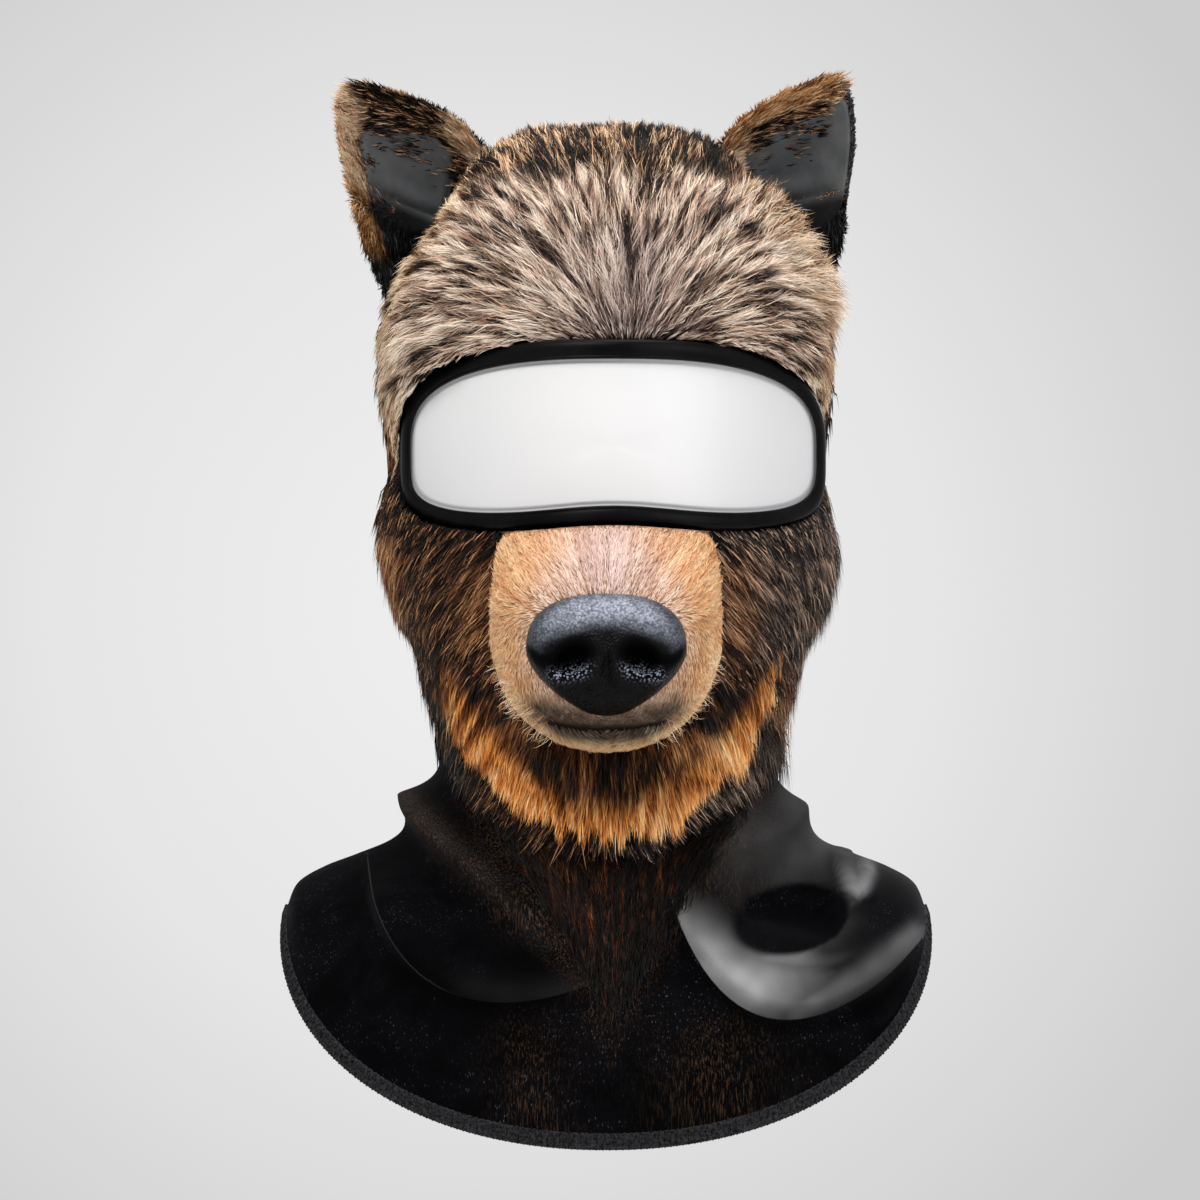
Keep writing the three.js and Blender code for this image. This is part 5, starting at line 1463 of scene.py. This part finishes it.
def capeHollowShade(x, z):
    dark = 0 * x
    for hollow in capeShadedHollows:
        across, up = x - hollow["x"], z - hollow["z"] - hollow["tilt"] * (x - hollow["x"])
        ring = np.hypot(across / hollow["halfWidth"], up / hollow["halfHeight"])
        dark = np.maximum(dark, hollow["depth"] * smooth((1 + hollow["soft"] / 2 - ring) / hollow["soft"]))
    return dark


def capeRidge(x, z):
    # 0.5 on the edge of the nearer swag, 0.1 more or less for each millimetre inwards or outwards,
    # and the strength of the thin painted highlight along it
    near1, at1, above1 = foldPlace(capeFolds[1], x, z)
    near2, at2, above2 = foldPlace(capeFolds[2], x, z)
    nearer = near1 < near2
    inward = np.where(nearer, np.where(above1, near1, -near1), np.where(above2, near2, -near2))
    line = np.where(nearer, 0.07 * smooth((0.62 - at1) / 0.2), 0.3 * smooth((0.66 - at2) / 0.3))
    return np.clip(0.5 + inward / (10 * mm), 0, 1), line


def capePaintedSheen(x, z):
    # painted sheen: strokes along the folds where they turn to the light, held back in the shaded hollows
    paintedSheen = 0 * x
    for line in capeSheen:
        near, at, above = foldPlace(line, x, z)
        start, middle, end = line["strength"]
        strength = (1 - at) ** 2 * start + 2 * at * (1 - at) * (2 * middle - (start + end) / 2) + at ** 2 * end
        width = np.where(above, line["inner"], line["outer"]) * capeSize["halfWidth"]
        paintedSheen = np.maximum(paintedSheen, strength * np.exp(-((near / width) ** 2)))
    patches = 0.8 + 0.4 * latticeNoise(x / (6 * mm), z / (6 * mm), 0, 47)
    return np.clip(paintedSheen * (1 - capeHollowShade(x, z)) * patches, 0, 1)


def capePrint(x, z):
    # where brown print shows: round the collar's gap, on the left roll, on the right drape and low in the middle
    wedge = smooth(((z + 358 * mm) * 0.6 + 18 * mm - np.abs(x - 2 * mm)) / (22 * mm))
    wedge = wedge * smooth((-262 * mm - z) / (14 * mm))
    near, at, above = foldPlace(capeFolds[0], x, z)
    roll = np.exp(-((near / (7 * mm)) ** 2)) * smooth((1.05 - at) / 0.2)
    low = np.exp(-(((x + 30 * mm) / (15 * mm)) ** 2)) + np.exp(-(((x - 46 * mm) / (24 * mm)) ** 2))
    low = low * smooth((-346 * mm - z) / (30 * mm))
    drape = np.exp(-(((x - 62 * mm) / (16 * mm)) ** 2)) * between(z, -322 * mm, -268 * mm, 14 * mm)
    patch = 0.5 + latticeNoise(x / (9 * mm), z / (14 * mm), 0, 44)
    # the print is held back in the hollows' painted shade
    return np.clip((wedge + 0.9 * roll + 0.4 * low + 0.6 * drape) * patch * (1 - capeHollowShade(x, z)), 0, 1)


def buildCape():
    look = capeLook
    angle = capeAngles(look["columns"])
    share = np.linspace(0.0, 1, look["rows"] + 1)
    points = capeSurface(angle[None, :], share[:, None])
    points = points - 0.1 * mm * surfaceNormals(capeSurface, angle[None, :], share[:, None])
    x, y, z = np.moveaxis(points.reshape(-1, 3), -1, 0)
    ridge, line = capeRidge(x, z)
    # besides the print, the masks carry painted sheen and the strength of a painted highlight along the swags' edges
    masks = {"print": capePrint(x, z) * (y < 0), "paintedSheen": capePaintedSheen(x, z) * (y < 0), "ridge": ridge,
             "line": line * (y < 0)}
    cape = makePiece("cape_velvet", points, gridFaces(len(share), len(angle)), masks=masks)
    solidify(cape, capeSize["wall"] - 0.2 * mm)
    place(cape, "black_velvet", velvetFinish, "cape_front", "cape_back")


hemLook = {"columns": 420, "width": 7 * mm, "thickness": 3.2 * mm, "gap": -1.8 * mm, "stitches": 210,
           "thread": 0.45 * mm, "rib": 0.25 * mm}


def hemFrame(angle):
    # middle of the cape's edge, out of the cloth, and on past the edge
    outer = capeSurface(angle, np.ones_like(angle))
    normal = surfaceNormals(capeSurface, angle, np.ones_like(angle))
    along = unit(capeSurface(angle + 1e-3, np.ones_like(angle)) - capeSurface(angle - 1e-3, np.ones_like(angle)))
    out = unit(normal - along * np.sum(normal * along, -1, keepdims=True))
    return outer - normal * capeSize["wall"] / 2, out, unit(np.cross(along, out)), along


def buildHem():
    look = hemLook
    angle = capeAngles(look["columns"])
    middle, out, away, along = hemFrame(angle)
    # a rounded band: its section runs up the inside, over the fold and down the outside
    turn = np.linspace(0, 2 * math.pi, 17)[:-1]
    half = look["thickness"] / 2
    bulge = signedPower(np.cos(turn), 0.6) * half
    reach = look["gap"] + look["width"] / 2 * (1 + signedPower(np.sin(turn), 0.7))
    # its edge is toothed: every second column reaches less far
    wobble = np.where(np.arange(look["columns"]) % 2 == 0, 1.08, 0.86)
    points = (middle[None] + out[None] * (bulge[:, None, None] * wobble[None, :, None])
              + away[None] * (reach[:, None, None] * (0.72 + 0.28 * wobble[None, :, None])))
    faces = gridFaces(points.shape[0], points.shape[1], True, True)
    band = makePiece("hem_band", points[::-1], faces)
    place(band, "black_binding", bindingFinish, "hem_binding")

    # overlock thread: a zigzag that runs over the band's face and round its edge
    steps = look["stitches"] * 2
    angle = capeAngles(steps)
    middle, out, away, along = hemFrame(angle)
    high = np.arange(steps) % 2 == 0
    reach = np.where(high, look["gap"] + 0.8 * mm, look["gap"] + look["width"] + 0.1 * mm)
    rise = np.where(high, half + 0.05 * mm, half * 0.35)
    start = middle + out * rise[:, None] + away * reach[:, None]
    end = np.roll(start, -1, 0)
    centre = (start + end) / 2 + (out + np.roll(out, -1, 0)) * (0.25 * mm)
    path = np.stack([start, centre, end], 1)
    direction = unit(end - start)
    side = unit(np.cross(direction, out))
    ringTurn = np.arange(4) * math.pi / 2
    section = (side[:, None, None] * np.cos(ringTurn)[None, None, :, None]
               + out[:, None, None] * np.sin(ringTurn)[None, None, :, None]) * look["thread"]
    points = path[:, :, None] + section
    one = gridFaces(3, 4)
    faces = (np.arange(steps)[:, None, None] * 12 + one[None]).reshape(-1, 4)
    thread = makePiece("hem_stitches", points, faces)
    place(thread, "black_binding", bindingFinish)


buildHem()
buildCape()
print("cape and hem made")


# Chin ruff: a backing with long locks, and the fur that shows between the collar rolls

ruffLook = {"columns": 90, "rows": 16, "count": 21500, "width": 0.55 * mm, "lock": (3.4 * mm, 22 * mm),
            "gather": 0.75, "seed": 16, "spot": (3 * mm, 14 * mm), "fine": (0.8 * mm, 11 * mm), "gains": (0.4, 0.9, 0.5, 0.3),
            "glow": 19 * mm}
ruffTones = {
    "dark": [tone(12, 10, 9), tone(28, 19, 14), tone(62, 38, 24), tone(140, 86, 48), tone(206, 146, 92)],
    "orange": [tone(60, 26, 8), tone(150, 78, 28), tone(218, 132, 56), tone(248, 176, 96), tone(255, 216, 158)],
    "rust": [tone(3, 2, 2), tone(12, 6, 3), tone(40, 19, 8), tone(112, 58, 24), tone(176, 104, 52)],
}


def ruffSurface(u, s):
    # a crescent under the muzzle: u runs across, s from the muzzle down to the tips
    u, s = np.broadcast_arrays(u, s)
    across = 2 * u - 1
    crescent = 1 - across ** 2
    top = muzzleSize["z"] - ruffSize["topDrop"] + ruffSize["topRise"] * across ** 2
    tip = muzzleSize["z"] - ruffSize["tipDrop"] + ruffSize["tipRise"] * across ** 2
    z = top + (tip - top) * s
    x = ruffSize["halfWidth"] * across * (1 - ruffSize["taper"] * s)
    free = ruffSize["standOff"] * smooth((neckZ + ruffSize["breakOver"] - z) / (2 * ruffSize["breakOver"])) * crescent
    body = ruffSize["thickness"] * mix(0.35, 1, crescent) * (1 - 0.75 * s ** 2)
    return vectors(x, faceDepth(x, z) - free - 0.7 * body, z)


def ruffPlace(points):
    # across runs along the crescent, along is the way down and a little outwards
    x, y, z = np.moveaxis(points, -1, 0)
    return x + 0.35 * np.tanh(x / (40 * mm)) * z, -z


def ruffTone(points, chance, lock):
    # orange in a band above the tips, dark between it and the muzzle
    look = ruffLook
    x, y, z = np.moveaxis(points, -1, 0)
    pattern = streaks(ruffPlace(points), look, chance, lock)
    tipZ = muzzleSize["z"] - ruffSize["tipDrop"] + ruffSize["tipRise"] * (x / ruffSize["halfWidth"]) ** 2
    height = (z - tipZ) / look["glow"] + 0.5 * (latticeNoise(x / (7 * mm), 0.5, 0.5, 72) - 0.5)
    glow = smooth((1.3 - height) / 0.6) * smooth((x + 70 * mm) / (10 * mm))
    dark = pickTone(ruffTones["dark"], 0.33 + pattern)
    bright = pickTone(ruffTones["orange"], 0.36 + pattern + 0.3 * smooth(1 - height) + 0.08 * np.tanh((x - 10 * mm) / (30 * mm))
                      + 0.16 * np.exp(-((x / (22 * mm)) ** 2)))
    return mix(dark, bright, glow[:, None])


def buildRuff():
    look = ruffLook
    rng = np.random.default_rng(look["seed"])
    u, s = np.linspace(0, 1, look["columns"]), np.linspace(0, 0.8, look["rows"])
    points = ruffSurface(u[None, :], s[:, None])
    backing = makePiece("ruff_backing", points, gridFaces(*points.shape[:2], wrapAcross=False))
    solidify(backing, 1.5 * mm)
    place(backing, "orange_fur", darkBacking, "chin_ruff")

    u, s = scatterRoots(ruffSurface, (0.0, 1), (0, 0.66), look["count"], evenly, rng, (80, 24))
    roots = ruffSurface(u, s)
    normals = surfaceNormals(ruffSurface, u, s)
    normals = normals * np.sign(-np.mean(normals[:, 1]))
    x, y, z = np.moveaxis(roots, -1, 0)
    flows = onSurface(vectors(x / (90 * mm), 0 * x, -1.0 + 0 * x), normals)
    look = dict(look, length=14 * mm, lockLength=0.6, lift=0.22, lay=0.8, sway=0.1, bend=0.25, droop=0.35, steps=3)
    fur = growFur("fur_ruff", roots, normals, flows, look, ruffPlace, ruffTone, rng)
    place(fur, "orange_fur", furFinish)


chestLook = {"count": 19000, "width": 0.36 * mm, "lock": (3.6 * mm, 14 * mm), "gather": 0.7, "seed": 17,
             "spot": (3.5 * mm, 14 * mm), "fine": (0.9 * mm, 10 * mm), "gains": (0.5, 0.4, 0.5, 0.15), "rare": 2}


def buildChest():
    # rust-brown pile in the gap of the collar, on the cape between its two rolls, thinning at its edges
    look = chestLook
    rng = np.random.default_rng(look["seed"])

    def density(x, y, z):
        room = (z + 356 * mm) * 0.66 + 8 * mm - np.abs(x - 3 * mm)
        return smooth(room / (26 * mm)) ** 1.3 * (z < -258 * mm) * (y < 0)

    angle, share = scatterRoots(capeSurface, (-0.9, 0.9), (0.0, 0.7), look["count"], density, rng)
    roots, normals = capeSurface(angle, share), surfaceNormals(capeSurface, angle, share)
    x, y, z = np.moveaxis(roots, -1, 0)
    flows = onSurface(vectors(-(x - 3 * mm) / (75 * mm), 0 * x, -1.0 + 0 * x), normals)

    def placeOf(points):
        x, y, z = np.moveaxis(points, -1, 0)
        return x - 0.3 * np.tanh(x / (30 * mm)) * z, -z

    def toneAt(points, chance, lock):
        x, y, z = np.moveaxis(points, -1, 0)
        outer = smooth((np.abs(x - 3 * mm) - (z + 356 * mm) * 0.4) / (14 * mm)) * 0.2
        # painted shade at the top of the pile, under the ruff
        shade = smooth((z + 300 * mm) / (20 * mm)) * 0.14
        middle = 0.2 * np.exp(-(((x - 12 * mm) / (9 * mm)) ** 2))
        low = 0.14 * smooth((-318 * mm - z) / (24 * mm))
        value = 0.36 + streaks(placeOf(points), look, chance, lock)
        return pickTone(ruffTones["rust"], value - shade - outer - middle - low)

    look = dict(look, length=9 * mm, lift=0.14, droop=0.2, sway=0.12, bend=0.25)
    fur = growFur("fur_chest", roots, normals, flows, look, placeOf, toneAt, rng)
    place(fur, "orange_fur", furFinish)


buildRuff()
buildChest()
print("ruff made")


# Studio: pale floor, soft lights, long lens

studioLook = {"floorZ": -0.62, "floorRadius": 1.35, "camera": (-0.0025, -2.26, -0.192), "lens": 161,
              "sky": 0.5}


def buildStudio():
    look = studioLook
    turn = np.arange(96) * 2 * math.pi / 96
    rim = vectors(look["floorRadius"] * np.cos(turn), look["floorRadius"] * np.sin(turn), look["floorZ"])
    centre = np.array([[0, 0, look["floorZ"]]])
    faces = np.stack([np.full(96, 96), np.arange(96), (np.arange(96) + 1) % 96], -1)
    floor = makePiece("floor", np.concatenate([rim, centre]), faces, False)
    floor.data.materials.append(newFinish("floorFinish", Base_Color=(0.72, 0.72, 0.72, 1), Roughness=0.8)[0])

    world = bpy.data.worlds.new("studioSky")
    bpy.context.scene.world = world
    world.use_nodes = True
    nodes, links = world.node_tree.nodes, world.node_tree.links
    background = nodes["Background"]
    background.inputs["Strength"].default_value = 1.0
    spread = nodes.new("ShaderNodeTexCoord")
    split = nodes.new("ShaderNodeSeparateXYZ")
    links.new(spread.outputs["Generated"], split.inputs["Vector"])
    # seen from the front the sky is a little darker towards the corners: 1 - (x^2 + z^2) * fall
    flattened = nodes.new("ShaderNodeVectorMath")
    flattened.operation = "MULTIPLY"
    flattened.inputs[1].default_value = (1, 0, 1)
    middle = addNode(nodes, "ShaderNodeVectorMath", {1: (0.02, 0, 0)}, operation="ADD")
    links.new(spread.outputs["Generated"], middle.inputs[0])
    links.new(middle.outputs["Vector"], flattened.inputs[0])
    far = nodes.new("ShaderNodeVectorMath")
    far.operation = "LENGTH"
    links.new(flattened.outputs["Vector"], far.inputs[0])
    ramp = addRamp(nodes, links, far.outputs["Value"], (0.0, tone(239, 239, 239)), (0.08, tone(230, 230, 230)),
                   (0.16, tone(205, 205, 205)))
    path = nodes.new("ShaderNodeLightPath")
    seen = addNode(nodes, "ShaderNodeMix", data_type="RGBA")
    seen.inputs["A"].default_value = (look["sky"], look["sky"], look["sky"], 1)
    links.new(path.outputs["Is Camera Ray"], seen.inputs["Factor"])
    links.new(ramp.outputs["Color"], seen.inputs["B"])
    links.new(seen.outputs["Result"], background.inputs["Color"])

    for name, at, size, power, colour in (
        ("keyLight", (-0.6, -1.4, 1.2), 0.8, 24, (1, 0.985, 0.96)),
        ("fillLight", (1.3, -1.2, 0.3), 1.2, 10, (1, 1, 1)),
        ("topLight", (0.1, -0.1, 1.3), 0.8, 14, (1, 1, 1)),
        ("backLight", (0.6, 1.5, 0.5), 0.9, 14, (1, 1, 1)),
    ):
        light = bpy.data.lights.new(name, "AREA")
        light.size, light.energy, light.color = size, power, colour
        lamp = bpy.data.objects.new(name, light)
        bpy.context.scene.collection.objects.link(lamp)
        lamp.location = at
        aim = Vector((0, 0, -0.19)) - Vector(at)
        lamp.rotation_euler = aim.to_track_quat("-Z", "Y").to_euler()

    camera = bpy.data.cameras.new("camera")
    camera.lens, camera.sensor_width = look["lens"], 36
    holder = bpy.data.objects.new("camera", camera)
    bpy.context.scene.collection.objects.link(holder)
    holder.location = look["camera"]
    holder.rotation_euler = (math.pi / 2, 0, 0)
    bpy.context.scene.camera = holder
    bpy.context.scene.view_settings.view_transform = "Standard"


buildStudio()
